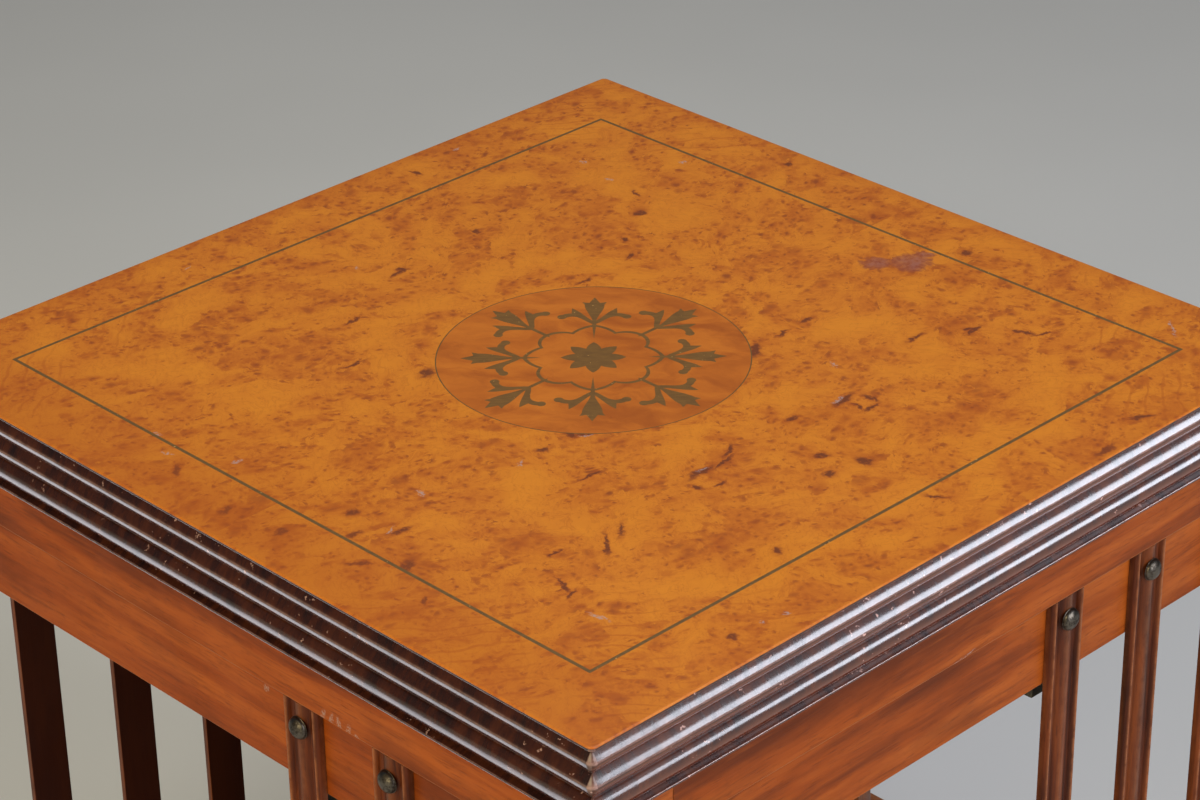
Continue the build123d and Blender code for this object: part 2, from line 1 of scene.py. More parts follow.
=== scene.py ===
"""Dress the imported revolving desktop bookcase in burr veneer, mahogany and worn polish.

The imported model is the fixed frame: every surface here is worked out from its boxes, in
metres, +Z up, with the origin on the floor under the spindle. Sides are numbered as the
maker would walk round the case: front (-Y), right (+X), back (+Y) and left (-X).
"""

import json
import logging
import math
from dataclasses import dataclass
from enum import Enum

import bmesh
import bpy
import numpy as np
from mathutils import Matrix, Vector

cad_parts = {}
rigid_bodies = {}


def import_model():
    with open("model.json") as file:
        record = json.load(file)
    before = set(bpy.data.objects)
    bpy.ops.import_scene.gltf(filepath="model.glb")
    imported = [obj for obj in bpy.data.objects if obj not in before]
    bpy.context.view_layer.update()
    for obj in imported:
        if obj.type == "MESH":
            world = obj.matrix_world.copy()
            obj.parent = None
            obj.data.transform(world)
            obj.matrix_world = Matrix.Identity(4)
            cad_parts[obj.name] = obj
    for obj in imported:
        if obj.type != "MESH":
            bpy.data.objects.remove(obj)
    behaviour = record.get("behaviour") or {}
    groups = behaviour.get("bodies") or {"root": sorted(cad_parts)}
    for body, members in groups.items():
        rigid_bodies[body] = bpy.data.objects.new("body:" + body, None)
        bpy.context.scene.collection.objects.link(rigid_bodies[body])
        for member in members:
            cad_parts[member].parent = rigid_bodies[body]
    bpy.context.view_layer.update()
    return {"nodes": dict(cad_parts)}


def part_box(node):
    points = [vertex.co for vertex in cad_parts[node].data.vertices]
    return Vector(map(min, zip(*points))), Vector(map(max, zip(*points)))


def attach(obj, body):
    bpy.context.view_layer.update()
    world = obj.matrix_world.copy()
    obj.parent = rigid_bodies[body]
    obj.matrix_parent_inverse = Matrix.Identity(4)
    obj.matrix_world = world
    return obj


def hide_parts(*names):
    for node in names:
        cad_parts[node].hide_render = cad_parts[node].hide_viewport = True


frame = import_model()

Array = np.ndarray
Triple = tuple[float, float, float]  # a colour, a place or a corner with its radius
Socket = bpy.types.NodeSocket
Value = float | tuple | Socket
Thing = bpy.types.Object

log = logging.getLogger("bookcase")

MM = 0.001
WELD = 1e-6  # points closer than this are one point
SHARP_EDGE = math.radians(40)
GRAIN = "grain"  # attribute: place along, across and through the plank, in metres
WEAR_AND_SHADE = "wear"  # attribute: 1 where hands and dusters rub, 0 elsewhere, down to -1 for painted shade
UP = np.array([0.0, 0.0, 1.0])
ROUND_STEPS = 4  # points on the quarter circle of a plain eased edge
FINE_STEPS = 6  # and on one that shows


class Side(Enum):
    """The four faces, each the one before turned a quarter turn about the spindle."""

    FRONT = 0
    RIGHT = 1
    BACK = 2
    LEFT = 3

    @property
    def label(self) -> str:
        """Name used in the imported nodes."""
        return self.name.lower()

    @property
    def outward(self) -> Array:
        """Unit vector from the spindle to this face."""
        angle = (self.value - 1) * math.pi / 2
        return np.array([round(math.cos(angle)), round(math.sin(angle)), 0.0])

    @property
    def along(self) -> Array:
        """Unit vector along this face, to the right of someone facing it."""
        out = self.outward
        return np.array([-out[1], out[0], 0.0])

    def place(self, u: Array, out: Array, up: Array) -> Array:
        """Turn distances along, out and up into points.

        Args:
            u: distance along the face from the spindle's plane.
            out: distance out from the spindle.
            up: height above the floor.

        Returns:
            Points, with one more axis than the three inputs have once broadcast.
        """
        u, out, up = np.broadcast_arrays(u, out, up)
        points = u[..., None] * self.along + out[..., None] * self.outward
        points[..., 2] += up
        return points


# ---------------------------------------------------------------- surfaces


@dataclass
class Surface:
    """A grid of points with the timber and wear coordinates that its finish reads.

    Attributes:
        points: places in metres, shaped (rows, columns, 3).
        grain: place within the plank, shaped (rows, columns, 3).
        wear: rubbing up to 1, or painted shade down to -1, shaped (rows, columns).
        loop: whether the last column joins the first.
        ends: whether the first and the last row are closed by a face.
    """

    points: Array
    grain: Array
    wear: Array
    loop: bool = True
    ends: bool = True

    def faces(self, first: int) -> list[list[int]]:
        """List the faces, each row joined to the next, column by column.

        Args:
            first: index of the surface's first point in the whole mesh.

        Returns:
            Quads, then the end faces.
        """
        rows, columns = self.wear.shape
        index = first + np.arange(rows * columns).reshape(rows, columns)
        near = index if self.loop else index[:, :-1]
        far = np.roll(index, -1, axis=1) if self.loop else index[:, 1:]
        quads = np.stack([near[:-1], far[:-1], far[1:], near[1:]], axis=-1).reshape(-1, 4)
        closing = [index[0].tolist(), index[-1].tolist()] if self.ends else []
        return quads.tolist() + closing


def planked(side: Side, u: Array, out: Array, up: Array, wear: Array, shift: float) -> Surface:
    """Make a surface whose grain runs along a side.

    Args:
        side: the side.
        u: distance along.
        out: distance out.
        up: height.
        wear: rubbing.
        shift: how far its figure is moved on, so that no two planks match.

    Returns:
        The closed surface.
    """
    return Surface(side.place(u, out, up), np.stack([u, up, out], axis=-1) + shift, wear)


def make_piece(name: str, surfaces: list[Surface]) -> Thing:
    """Make one object from closed surfaces, welded, facing outwards and smooth.

    Args:
        name: the object's name.
        surfaces: the closed skins that make up the piece.

    Returns:
        The object, at the origin, in the scene.
    """
    faces: list[list[int]] = []
    count = 0
    for surface in surfaces:
        faces += surface.faces(count)
        count += surface.wear.size
    mesh = bpy.data.meshes.new(name)
    mesh.from_pydata(np.concatenate([s.points.reshape(-1, 3) for s in surfaces]), [], faces)
    grain = mesh.attributes.new(GRAIN, "FLOAT_VECTOR", "POINT")
    grain.data.foreach_set("vector", np.concatenate([s.grain.ravel() for s in surfaces]))
    wear = mesh.attributes.new(WEAR_AND_SHADE, "FLOAT", "POINT")
    wear.data.foreach_set("value", np.concatenate([s.wear.ravel() for s in surfaces]))

    skin = bmesh.new()
    skin.from_mesh(mesh)
    bmesh.ops.remove_doubles(skin, verts=skin.verts, dist=WELD)
    bmesh.ops.recalc_face_normals(skin, faces=skin.faces)
    skin.to_mesh(mesh)
    skin.free()
    mesh.shade_smooth()
    mesh.set_sharp_from_angle(angle=SHARP_EDGE)
    piece = bpy.data.objects.new(name, mesh)
    bpy.context.scene.collection.objects.link(piece)
    return piece


@dataclass(frozen=True)
class Outline:
    """A closed outline in a plane, with how much each of its points is rubbed."""

    points: Array
    wear: Array

    def normals(self) -> Array:
        """Work out the normals: the tangent between the neighbours, turned a quarter turn.

        Returns:
            Outward unit vectors (n, 2).
        """
        tangent = np.roll(self.points, -1, axis=0) - np.roll(self.points, 1, axis=0)
        tangent /= np.maximum(np.linalg.norm(tangent, axis=1, keepdims=True), WELD)
        x, y = self.points.T
        area = np.sum(x * np.roll(y, -1) - y * np.roll(x, -1))
        return np.sign(area) * np.stack([tangent[:, 1], -tangent[:, 0]], axis=1)


def eased(corners: list[Triple], steps: int = 5) -> Outline:
    """Close an outline whose corners are rounded off.

    A corner c with radius r becomes the curve (1-t)^2 a + 2t(1-t) c + t^2 b, where a and
    b lie r from c on its two sides. One more point past each end keeps the flats flat.

    Args:
        corners: x, y and radius of each corner, in order round the outline.
        steps: points on each rounded corner.

    Returns:
        The outline, rubbed most at the middle of each corner.
    """
    table = np.array(corners)
    middle, radius = table[:, :2], table[:, 2:]
    widest_support, well_rubbed = 0.5 * MM, 0.8 * MM

    def towards(other: Array) -> Array:
        """Unit vectors from the corners to other points."""
        return (other - middle) / np.linalg.norm(other - middle, axis=1, keepdims=True)

    before = towards(np.roll(middle, 1, axis=0))
    after = towards(np.roll(middle, -1, axis=0))
    t = np.linspace(0, 1, steps)[None, :, None]
    a, b = middle + before * radius, middle + after * radius
    arc = (1 - t) ** 2 * a[:, None] + 2 * t * (1 - t) * middle[:, None] + t**2 * b[:, None]
    support = 0.3 * np.minimum(radius, widest_support)
    lead, tail = a + before * support, b + after * support
    points = np.concatenate([lead[:, None], arc, tail[:, None]], axis=1)
    rub = np.concatenate([[0.0], np.sin(np.pi * np.linspace(0, 1, steps)), [0.0]])
    wear = rub[None] * np.clip(radius / well_rubbed, 0, 1)
    return Outline(points.reshape(-1, 2), wear.ravel())


def quarter(radius: float, steps: int = ROUND_STEPS) -> tuple[Array, Array]:
    """Quarter circle that eases an edge, from the end face to the long face.

    Args:
        radius: its radius.
        steps: its points.

    Returns:
        Inset radius (1 - sin a) and rise radius (1 - cos a) of each point.
    """
    a = np.linspace(0, np.pi / 2, steps)
    return radius * (1 - np.sin(a)), radius * (1 - np.cos(a))


def swept(outline: Outline, start: float, end: float, ease: float,
          rows: int = 2) -> tuple[Array, Array, Array]:
    """Carry an outline along a straight line, its two ends eased.

    Row by row the outline shrinks along its normals by the inset of a quarter circle while
    the line moves on by its rise, which rounds the edge between a long face and an end.

    Args:
        outline: the section.
        start: where the line starts.
        end: where it ends.
        ease: radius of the end edges.
        rows: rows between the ends.

    Returns:
        Section coordinates (rows, columns, 2), distance along and wear (rows, columns).
    """
    clear, end_wear = 1.6 * ease, 0.6
    shrink, lead = quarter(ease)
    middle = np.linspace(start + clear, end - clear, rows)
    along = np.concatenate([start + lead, middle, (end - lead)[::-1]])
    inset = np.concatenate([shrink, np.zeros(rows), shrink[::-1]])
    section = outline.points[None] - inset[:, None, None] * outline.normals()[None]
    wear = np.maximum(outline.wear[None], np.where(inset > 0, end_wear, -1.0)[:, None])
    return section, np.broadcast_to(along[:, None], wear.shape), wear


def mitred(outline: Outline, radius: Array | float, bend: tuple[float, ...], reach: float,
           rows: int) -> tuple[Array, Array, Array]:
    """Run an outline along a side between two mitres at 45 degrees, their corners worn.

    A point at distance w out from the spindle follows u = w - r + r sin a and
    out = w - r + r cos a up to the mitre.

    Args:
        outline: the section, out and up.
        radius: the worn radius r, for all points or for each.
        bend: degrees of a, from the mitre to the straight.
        reach: share of the straight that its rows cover.
        rows: rows on the straight.

    Returns:
        Distance along, distance out and height (rows, columns).
    """
    out, up = outline.points.T
    a = np.radians(np.array(bend))[:, None]
    bend_u = out - radius + radius * np.sin(a)
    bend_out = out - radius + radius * np.cos(a)
    straight = np.linspace(-reach, reach, rows)[:, None] * (out - radius)
    u = np.concatenate([-bend_u, straight, bend_u[::-1]])
    face = np.concatenate([bend_out, np.broadcast_to(out, straight.shape), bend_out[::-1]])
    return u, face, np.broadcast_to(up, u.shape)


def turned(profile: Outline, centre: Triple, axis: Array = UP, segments: int = 48) -> Surface:
    """Turn a profile about an axis.

    The point (r, h) of the profile goes to centre + h axis + r (cos a p + sin a q), with
    a from 0 round to 2 pi and p, q square to the axis.

    Args:
        profile: radius and height of each point, from pole to pole.
        centre: point of the axis that has height nought.
        axis: unit vector of the axis.
        segments: steps round the circle.

    Returns:
        The closed surface; its grain runs along the axis.
    """
    p = UP if abs(axis[2]) < 0.5 else np.array([1.0, 0.0, 0.0])
    q = np.cross(axis, p)
    a = np.linspace(0, 2 * np.pi, segments, endpoint=False)
    ring = np.cos(a)[:, None] * p + np.sin(a)[:, None] * q
    radius, height = profile.points.T
    points = radius[:, None, None] * ring[None] + height[:, None, None] * axis + np.array(centre)
    grain = np.stack(np.broadcast_arrays(height[:, None] + centre[2],
                                         radius[:, None] * np.cos(a) + centre[0],
                                         radius[:, None] * np.sin(a) + centre[1]), axis=-1)
    wear = np.broadcast_to(profile.wear[:, None], grain.shape[:2])
    return Surface(points, grain, wear)


def rounded_rectangle(half_x: float, half_y: float, radius: float, steps: int = 7) -> Array:
    """Outline of a rectangle with round corners: a quarter circle about each inner corner.

    Args:
        half_x: half its length along X.
        half_y: half its length along Y.
        radius: corner radius.
        steps: points on each quarter circle.

    Returns:
        Points (4 steps, 2), counter-clockwise from the +X face.
    """
    turn = np.arange(4)[:, None] * np.pi / 2 + np.linspace(0, np.pi / 2, steps)[None]
    centre_x = (half_x - radius) * np.array([1, -1, -1, 1])[:, None]
    centre_y = (half_y - radius) * np.array([1, 1, -1, -1])[:, None]
    x, y = centre_x + radius * np.cos(turn), centre_y + radius * np.sin(turn)
    return np.stack([x.ravel(), y.ravel()], axis=1)


def raised(plan: Array, up: Array) -> Array:
    """Lift each ring of a plan (rings, points, 2) to its own height."""
    return np.concatenate([plan, np.broadcast_to(up[:, None, None], plan.shape[:2] + (1,))],
                          axis=2)


def moulded_board(low: Vector, high: Vector, radius: float, edge: list[tuple[float, float]],
                  along: int = 0, shift: float = 0.0) -> Surface:
    """Make a board whose edge is a moulding carried round its four sides.

    Each point of the edge, an inset from the board's faces and a height, gives one ring:
    the rounded rectangle shrunk by that inset, with its corner radius shrunk with it.

    Args:
        low: lowest corner of the board.
        high: highest corner.
        radius: radius of the board's upright corners.
        edge: inset and height of each ring, from the underside up.
        along: axis of the grain, 0 for X, 1 for Y and 2 for Z.
        shift: how far its figure is moved on.

    Returns:
        The closed surface, rubbed where the rings lie close together.
    """
    half = (np.array(high) - np.array(low)) / 2
    centre = (np.array(high) + np.array(low)) / 2
    least, close = 0.25 * MM, 1.2 * MM  # corner radius, and step between rubbed rings
    rings = np.array(edge)
    plan = centre[:2] + np.array([
        rounded_rectangle(half[0] - inset, half[1] - inset, max(radius - inset, least))
        for inset in rings[:, 0]])
    points = raised(plan, rings[:, 1])
    step = np.linalg.norm(np.gradient(rings, axis=0), axis=1)
    rub = np.clip(close / np.maximum(step, WELD) - 0.4, 0, 1) * 0.7
    order = [along] + [axis for axis in range(3) if axis != along]
    return Surface(points, points[..., order] + shift,
                   np.broadcast_to(rub[:, None], plan.shape[:2]))


def round_edge(low: float, high: float, radius: float, steps: int = ROUND_STEPS,
               support: float = 1.5) -> list[tuple[float, float]]:
    """Edge moulding of a plain board: a quarter circle at the foot and one at the head.

    Args:
        low: height of the underside.
        high: height of the top.
        radius: radius of both quarter circles.
        steps: points on each of them.
        support: radii from an end to the ring that keeps the face flat.

    Returns:
        Inset and height of each ring.
    """
    inset, rise = quarter(radius, steps)
    foot = list(zip(inset, low + rise))
    head = list(zip(inset[::-1], (high - rise)[::-1]))
    return foot + [(0.0, low + support * radius), (0.0, high - support * radius)] + head


# ---------------------------------------------------------------- finishes


@dataclass(frozen=True)
class Blot:
    """A mark on a face: its middle in metres, its half sizes and its turn in degrees."""

    x: float
    y: float
    half_x: float
    half_y: float
    turn: float = 0.0


def blots(*rows: tuple[float, ...]) -> tuple[Blot, ...]:
    """Make marks from rows of x, y, half x and half y in millimetres, and any turn."""
    return tuple(Blot(*(size * MM for size in row[:4]), *row[4:]) for row in rows)


class Tree:
    """Short hand for wiring the nodes of one material."""

    def __init__(self, name: str) -> None:
        """Start a material that holds only its shader and its output.

        Args:
            name: the material's name.
        """
        self.material = bpy.data.materials.new(name)
        self.material.use_nodes = True
        self.nodes = self.material.node_tree.nodes
        self.links = self.material.node_tree.links
        self.shader = self.nodes["Principled BSDF"]

    def feed(self, socket: Socket, value: Value) -> None:
        """Link a socket into another, or set it to a constant.

        Args:
            socket: the input to feed.
            value: a socket, a number, or a colour or vector that may lack its last part.
        """
        if isinstance(value, bpy.types.NodeSocket):
            self.links.new(value, socket)
        elif hasattr(socket.default_value, "__len__") and not hasattr(value, "__len__"):
            socket.default_value = (value,) * len(socket.default_value)
        elif hasattr(socket.default_value, "__len__"):
            spare = len(socket.default_value) - len(value)
            socket.default_value = tuple(value) + (1.0,) * spare
        else:
            socket.default_value = value

    def node(self, kind: str, inputs: dict[int | str, Value], **settings) -> bpy.types.Node:
        """Add a node.

        Args:
            kind: its type, without the ShaderNode prefix.
            inputs: value or socket for each input, by index or name.
            **settings: its own properties.

        Returns:
            The node.
        """
        node = self.nodes.new("ShaderNode" + kind)
        for name, setting in settings.items():
            setattr(node, name, setting)
        for key, value in inputs.items():
            self.feed(node.inputs[key], value)
        return node

    def here(self) -> Socket:
        """Place in the object's own metres, which are the frame's."""
        return self.node("TexCoord", {}).outputs["Object"]

    def grain(self) -> Socket:
        """Place within the plank: along, across and through."""
        return self.node("Attribute", {}, attribute_name=GRAIN).outputs["Vector"]

    def wear(self) -> Socket:
        """Rubbing of the surface, from 0 to 1."""
        rubbed = self.node("Attribute", {}, attribute_name=WEAR_AND_SHADE).outputs["Fac"]
        return self.math("MAXIMUM", rubbed, 0.0)

    def dullness(self) -> Socket:
        """Share of painted shade, from 0 to 1, where the wear attribute is below nought."""
        rubbed = self.node("Attribute", {}, attribute_name=WEAR_AND_SHADE).outputs["Fac"]
        return self.math("MULTIPLY", rubbed, -1.0, clamp=True)

    def math(self, operation: str, a: Value, b: Value = 0.0, clamp: bool = False) -> Socket:
        """Combine two numbers."""
        node = self.node("Math", {0: a, 1: b}, operation=operation, use_clamp=clamp)
        return node.outputs[0]

    def add(self, *values: Value) -> Socket:
        """Add up numbers.

        Args:
            *values: the numbers.

        Returns:
            Their sum.
        """
        total = values[0]
        for value in values[1:]:
            total = self.math("ADD", total, value)
        return total

    def times(self, *values: Value) -> Socket:
        """Multiply numbers.

        Args:
            *values: the numbers.

        Returns:
            Their product.
        """
        total = values[0]
        for value in values[1:]:
            total = self.math("MULTIPLY", total, value)
        return total

    def vector(self, operation: str, a: Value, b: Value = (0.0, 0.0, 0.0)) -> Socket:
        """Combine two vectors.

        Args:
            operation: what is done.
            a: the first vector.
            b: the second one, where there is one.

        Returns:
            A vector, or a number where the operation gives one.
        """
        node = self.node("VectorMath", {0: a, 1: b}, operation=operation)
        scalar = operation in ("LENGTH", "DISTANCE", "DOT_PRODUCT")
        return node.outputs["Value" if scalar else "Vector"]

    def split(self, vector: Value) -> tuple[Socket, Socket, Socket]:
        """Take a vector apart."""
        return tuple(self.node("SeparateXYZ", {0: vector}).outputs)

    def join(self, x: Value, y: Value, z: Value) -> Socket:
        """Put a vector together."""
        return self.node("CombineXYZ", {0: x, 1: y, 2: z}).outputs[0]

    def fit(self, vector: Value, scale: Triple, turn: float = 0.0) -> Socket:
        """Turn a pattern about Z, then scale its axes.

        Args:
            vector: place.
            scale: factor of each axis; a small one draws the pattern out along it.
            turn: degrees.

        Returns:
            The place to read the pattern at.
        """
        if turn:
            inputs = {"Vector": vector, "Rotation": (0, 0, -math.radians(turn))}
            vector = self.node("Mapping", inputs).outputs[0]
        return self.vector("MULTIPLY", vector, scale)

    def noise(self, vector: Value, scale: float, detail: float = 2.0, rough: float = 0.5,
              twist: float = 0.0) -> Socket:
        """Smooth random number around a half.

        Args:
            vector: place.
            scale: features to a metre.
            detail: finer layers.
            rough: strength of each layer against the one before.
            twist: how far the pattern is wrung.

        Returns:
            The number.
        """
        inputs = {"Vector": vector, "Scale": scale, "Detail": detail, "Roughness": rough,
                  "Distortion": twist}
        return self.node("TexNoise", inputs).outputs["Fac"]

    def warp(self, vector: Value, scale: float, amount: float, detail: float = 2.0) -> Socket:
        """Push every place about smoothly.

        Args:
            vector: place.
            scale: swirls to a metre.
            amount: twice the furthest push, in metres.
            detail: finer layers.

        Returns:
            The place after the push.
        """
        inputs = {"Vector": vector, "Scale": scale, "Detail": detail}
        colour = self.node("TexNoise", inputs).outputs["Color"]
        push = self.vector("MULTIPLY", self.vector("SUBTRACT", colour, (0.5,) * 3), (amount,) * 3)
        return self.vector("ADD", vector, push)

    def cells(self, vector: Value, scale: float) -> bpy.types.Node:
        """Random cells: Distance from the nearest centre, and a Color of its own for each."""
        return self.node("TexVoronoi", {"Vector": vector, "Scale": scale, "Randomness": 1.0})

    def span(self, value: Value, low: Value, high: Value, out_low: Value = 0.0,
             out_high: Value = 1.0) -> Socket:
        """Map a range smoothly to another and hold it there."""
        inputs = {0: value, 1: low, 2: high, 3: out_low, 4: out_high}
        return self.node("MapRange", inputs, interpolation_type="SMOOTHSTEP").outputs[0]

    def mix(self, share: Value, a: Value, b: Value) -> Socket:
        """Blend two colours."""
        return self.node("Mix", {0: share, 6: a, 7: b}, data_type="RGBA").outputs[2]

    def tint(self, body: Value, colour: Value, value: Value, low: float, high: float,
             most: float) -> Socket:
        """Blend a colour into another as a value goes from low to high.

        Args:
            body: the colour so far.
            colour: what is blended in.
            value: what decides where.
            low: value where it starts.
            high: value where it is at its most.
            most: the greatest share of it.

        Returns:
            The new colour.
        """
        return self.mix(self.span(value, low, high, 0.0, most), body, colour)

    def nearest(self, place: Socket, marks: tuple[Blot, ...]) -> Socket:
        """Scaled radius from the nearest mark's middle: 1 at the edge of the mark.

        The least radius so far travels as the third part of the place, so each mark waits
        for the one before and a long list takes no more of the renderer's stack.

        Args:
            place: place on the face, in its first two parts.
            marks: the marks.

        Returns:
            The radius.
        """
        far = 9.0  # more than any radius that a mark is told apart by
        carried = self.vector("MULTIPLY_ADD", place, (1.0, 1.0, 0.0))
        carried.node.inputs[2].default_value = (0.0, 0.0, far)
        for mark in marks:
            inputs = {"Vector": carried, "Location": (mark.x, mark.y, 0.0),
                      "Rotation": (0.0, 0.0, math.radians(mark.turn)),
                      "Scale": (mark.half_x, mark.half_y, 0.0)}
            scaled = self.node("Mapping", inputs, vector_type="TEXTURE").outputs[0]
            radius = self.join(far, far, self.vector("LENGTH", scaled))
            carried = self.vector("MINIMUM", carried, radius)
        return self.split(carried)[2]

    def ramp(self, value: Value, low: float, high: float, colours: tuple[Triple, ...],
             middle: float = 0.5) -> Socket:
        """Run through three colours as a value goes from low to high.

        Args:
            value: what decides where.
            low: value of the first colour.
            high: value of the last.
            colours: the three colours.
            middle: how far along the second one comes.

        Returns:
            The colour.
        """
        node = self.node("ValToRGB", {0: self.span(value, low, high)})
        elements = node.color_ramp.elements
        for index, (place, colour) in enumerate(zip((0.0, middle, 1.0), colours)):
            stop = elements[index] if index < 2 else elements.new(place)
            stop.position, stop.color = place, (*colour, 1.0)
        return node.outputs["Color"]

    def bump(self, height: Value, distance: float, strength: float = 1.0,
             under: Socket | None = None) -> Socket:
        """Tilt the surface by a height map.

        Args:
            height: the map, about 0 to 1.
            distance: what 1 stands for, in metres.
            strength: share of it that shows.
            under: a bump to lay this one on.

        Returns:
            The normal.
        """
        inputs = {"Height": height, "Distance": distance, "Strength": strength}
        if under is not None:
            inputs["Normal"] = under
        return self.node("Bump", inputs).outputs[0]

    def finish(self, colour: Value, rough: Value, normal: Socket | None = None,
               **constants: float) -> None:
        """Wire the shader.

        Args:
            colour: base colour.
            rough: roughness.
            normal: the tilted normal, if any.
            **constants: other inputs, named with underscores for spaces.
        """
        self.feed(self.shader.inputs["Base Color"], colour)
        self.feed(self.shader.inputs["Roughness"], rough)
        if normal is not None:
            self.feed(self.shader.inputs["Normal"], normal)
        for name, value in constants.items():
            self.feed(self.shader.inputs[name.replace("_", " ")], value)


@dataclass(frozen=True)
class Finish:
    """A finish: the record's slot it stands for, and how it is painted."""

    slot: str

    def paint(self, tree: Tree) -> None:
        """Wire the finish; each kind of finish does this its own way."""
        raise NotImplementedError

    def dress(self, piece: Thing) -> None:
        """Give a piece this finish and no other.

        Args:
            piece: the piece.
        """
        name = f"{type(self).__name__}_{self.slot}"
        material = bpy.data.materials.get(name)
        if material is None:
            tree = Tree(name)
            self.paint(tree)
            material = tree.material
        piece.data.materials.clear()
        piece.data.materials.append(material)


@dataclass(frozen=True)
class BurrVeneer(Finish):
    """Burr veneer laid as four matched leaves, under a satin polish.

    Attributes:
        seam_x: where the leaves meet, left to right.
        gold, amber, russet: the figure from its bright streams to its crowded islands.
        pip, scar: the little eyes, and the dark bark pockets.
        stain, bloom: the wine stain's rim, and the milky polish within it.
        scuff: colour of the pale spots, painted glints and scuffs.
        islands, streams: where eyes crowd and where the figure is plain, laid and
            mirrored about the seam.
        scars: bark pockets.
        flecks: painted glints, and chips filled with pale wax.
        spill: the lobes of the wine stain.
    """

    seam_x: float = -0.003
    gold: Triple = (0.730, 0.248, 0.018)
    amber: Triple = (0.610, 0.178, 0.015)
    russet: Triple = (0.430, 0.094, 0.009)
    pip: Triple = (0.215, 0.043, 0.014)
    scar: Triple = (0.120, 0.034, 0.015)
    stain: Triple = (0.270, 0.060, 0.030)
    bloom: Triple = (0.350, 0.135, 0.105)
    scuff: Triple = (0.440, 0.350, 0.360)
    islands: tuple[Blot, ...] = blots(
        (90, 95, 36, 19, 25), (42, 112, 34, 14, 18), (50, 152, 34, 12, 12), (112, 2, 34, 22, 15),
        (184, 20, 18, 60), (152, 35, 20, 34, -10), (144, -36, 24, 22), (66, -74, 26, 12, -12),
        (118, -86, 30, 13, 6), (40, -104, 34, 13, -8), (56, -138, 46, 20, -14),
        (180, -100, 14, 26), (120, 184, 44, 12), (70, -188, 40, 10), (172, -186, 30, 12),
    )
    streams: tuple[Blot, ...] = blots(
        (128, 110, 44, 20, 55), (66, 78, 50, 8, 16), (116, 62, 26, 18, 20), (30, 78, 40, 10, -5),
        (90, -52, 40, 11, -12), (16, -76, 40, 9), (122, -140, 34, 18, -30), (94, -112, 26, 9, -35),
        (20, -166, 50, 8),
    )
    scars: tuple[Blot, ...] = blots(
        (-41.5, -96.5, 6.6, 1.8, 4), (-30, -97.5, 7, 1, 8), (-50, -104, 1.2, 2.4, 20),
        (-43, -107.5, 3.4, 0.9), (38.5, -97, 6.6, 2, 10), (47, -104, 1.1, 4),
        (42, -109, 4.6, 1.1, -5), (38, -104, 1, 3.6, -12), (45.5, -43, 6.6, 2.4, 32),
        (-55, -40, 2.6, 2.6), (-50, -44, 5, 1.4, -35), (-59, 37, 3.6, 3, 30),
        (-7, 113, 5.6, 1.3, 24), (-3.5, 115, 2.6, 1.3, -20), (-133.5, -117, 6.4, 0.8, 72),
        (-136, -124.5, 3, 0.9, 15), (-92, -105, 5.2, 1, 44), (-103, -109, 8, 0.8, 48),
        (-121, -100, 3.6, 0.9), (-75, 64, 6.2, 0.9, -5), (-50, 93, 4.6, 1, 5),
        (0, -121, 3, 1.8, -30), (8, -135.5, 3, 3.4), (-9, -132, 2.6, 2.6), (6, -172, 4, 1.1, -60),
        (97.5, -82, 5.6, 1.2, 5), (119, -95.5, 5.4, 1.2, 10), (119, -93, 1.2, 2.2, 30),
        (132, -111, 4, 1, -60), (136, -117, 5, 0.7, -40), (64, -41, 4.2, 1, 8),
        (79, -40.5, 4, 1.2), (172, -47, 2.6, 3, 50), (14, -92.5, 2.8, 1.8), (-162, -37, 4, 1.8),
        (-152, -25, 3, 2.6), (-149, -48, 5, 1.6, -10), (-175, -54, 5.6, 1.4, -52),
        (-163, -68, 3.6, 2.2, 20), (-180, -17, 2.8, 1.8), (-72, -68.5, 5.6, 1, -8),
        (-71, -41.5, 2.8, 1.6, -20), (-22, -92.5, 5.4, 1.4, 25), (-176, -90, 3, 1.2, 40),
        (-184, 10, 4.4, 1.6, 10), (-178, 46, 4.6, 1.6, 45), (-63, -157.5, 2.6, 1.6, 40),
        (-117, -184, 2.6, 1.6, 30), (104.5, 81, 3.4, 1.5, -15), (118, 96, 3.6, 1.2, 70),
        (187, 69, 2.6, 1.8, 20), (43, 119, 2, 2.2), (65, 183, 1.2, 3.2), (71.5, 54, 3, 1.4, 25),
        (41, 51, 4, 1), (81, 67, 1.4, 2.2), (77, -195, 7, 1.6), (108, -189, 6, 1.3, -30),
    )
    flecks: tuple[Blot, ...] = blots(
        (-125.5, -32.5, 1.4, 3, -15), (-151, -45, 3, 0.7, 30), (-84, -42.5, 3.4, 1, 25),
        (-51, -45, 3, 0.8, -30), (-140, -142, 1, 6, 10), (-103, -186, 1.6, 1.2),
        (-92, -188, 1.8, 0.9), (-40, -95.5, 3, 0.8), (-172, 60, 1, 3.4, 15),
        (-165, 75, 0.8, 2.6, -10), (-157.5, 35, 2.4, 1.2, 20), (-66, 181, 2.4, 1),
        (-16, 129, 1.2, 1.4), (37, -95.5, 5.2, 1.3, 12), (58, -74, 1.4, 2.6),
        (176, -152, 9, 0.6, 48), (95, 188, 3, 1), (125, 137, 1.6, 2), (120, 116, 1.2, 2, 20),
        (156, 105, 2, 1.2),
    )
    spill: tuple[Blot, ...] = blots(
        (138.5, -26, 8.5, 6.2, -44), (149.5, -36.5, 10, 10), (158, -34.5, 5.5, 5),
    )

    def gather(self, tree: Tree, place: Socket, marks: tuple[Blot, ...], firm: float) -> Socket:
        """Join marks: one inside the share called firm of any of them, nought outside all."""
        return tree.span(tree.nearest(place, marks), 1.0, firm)

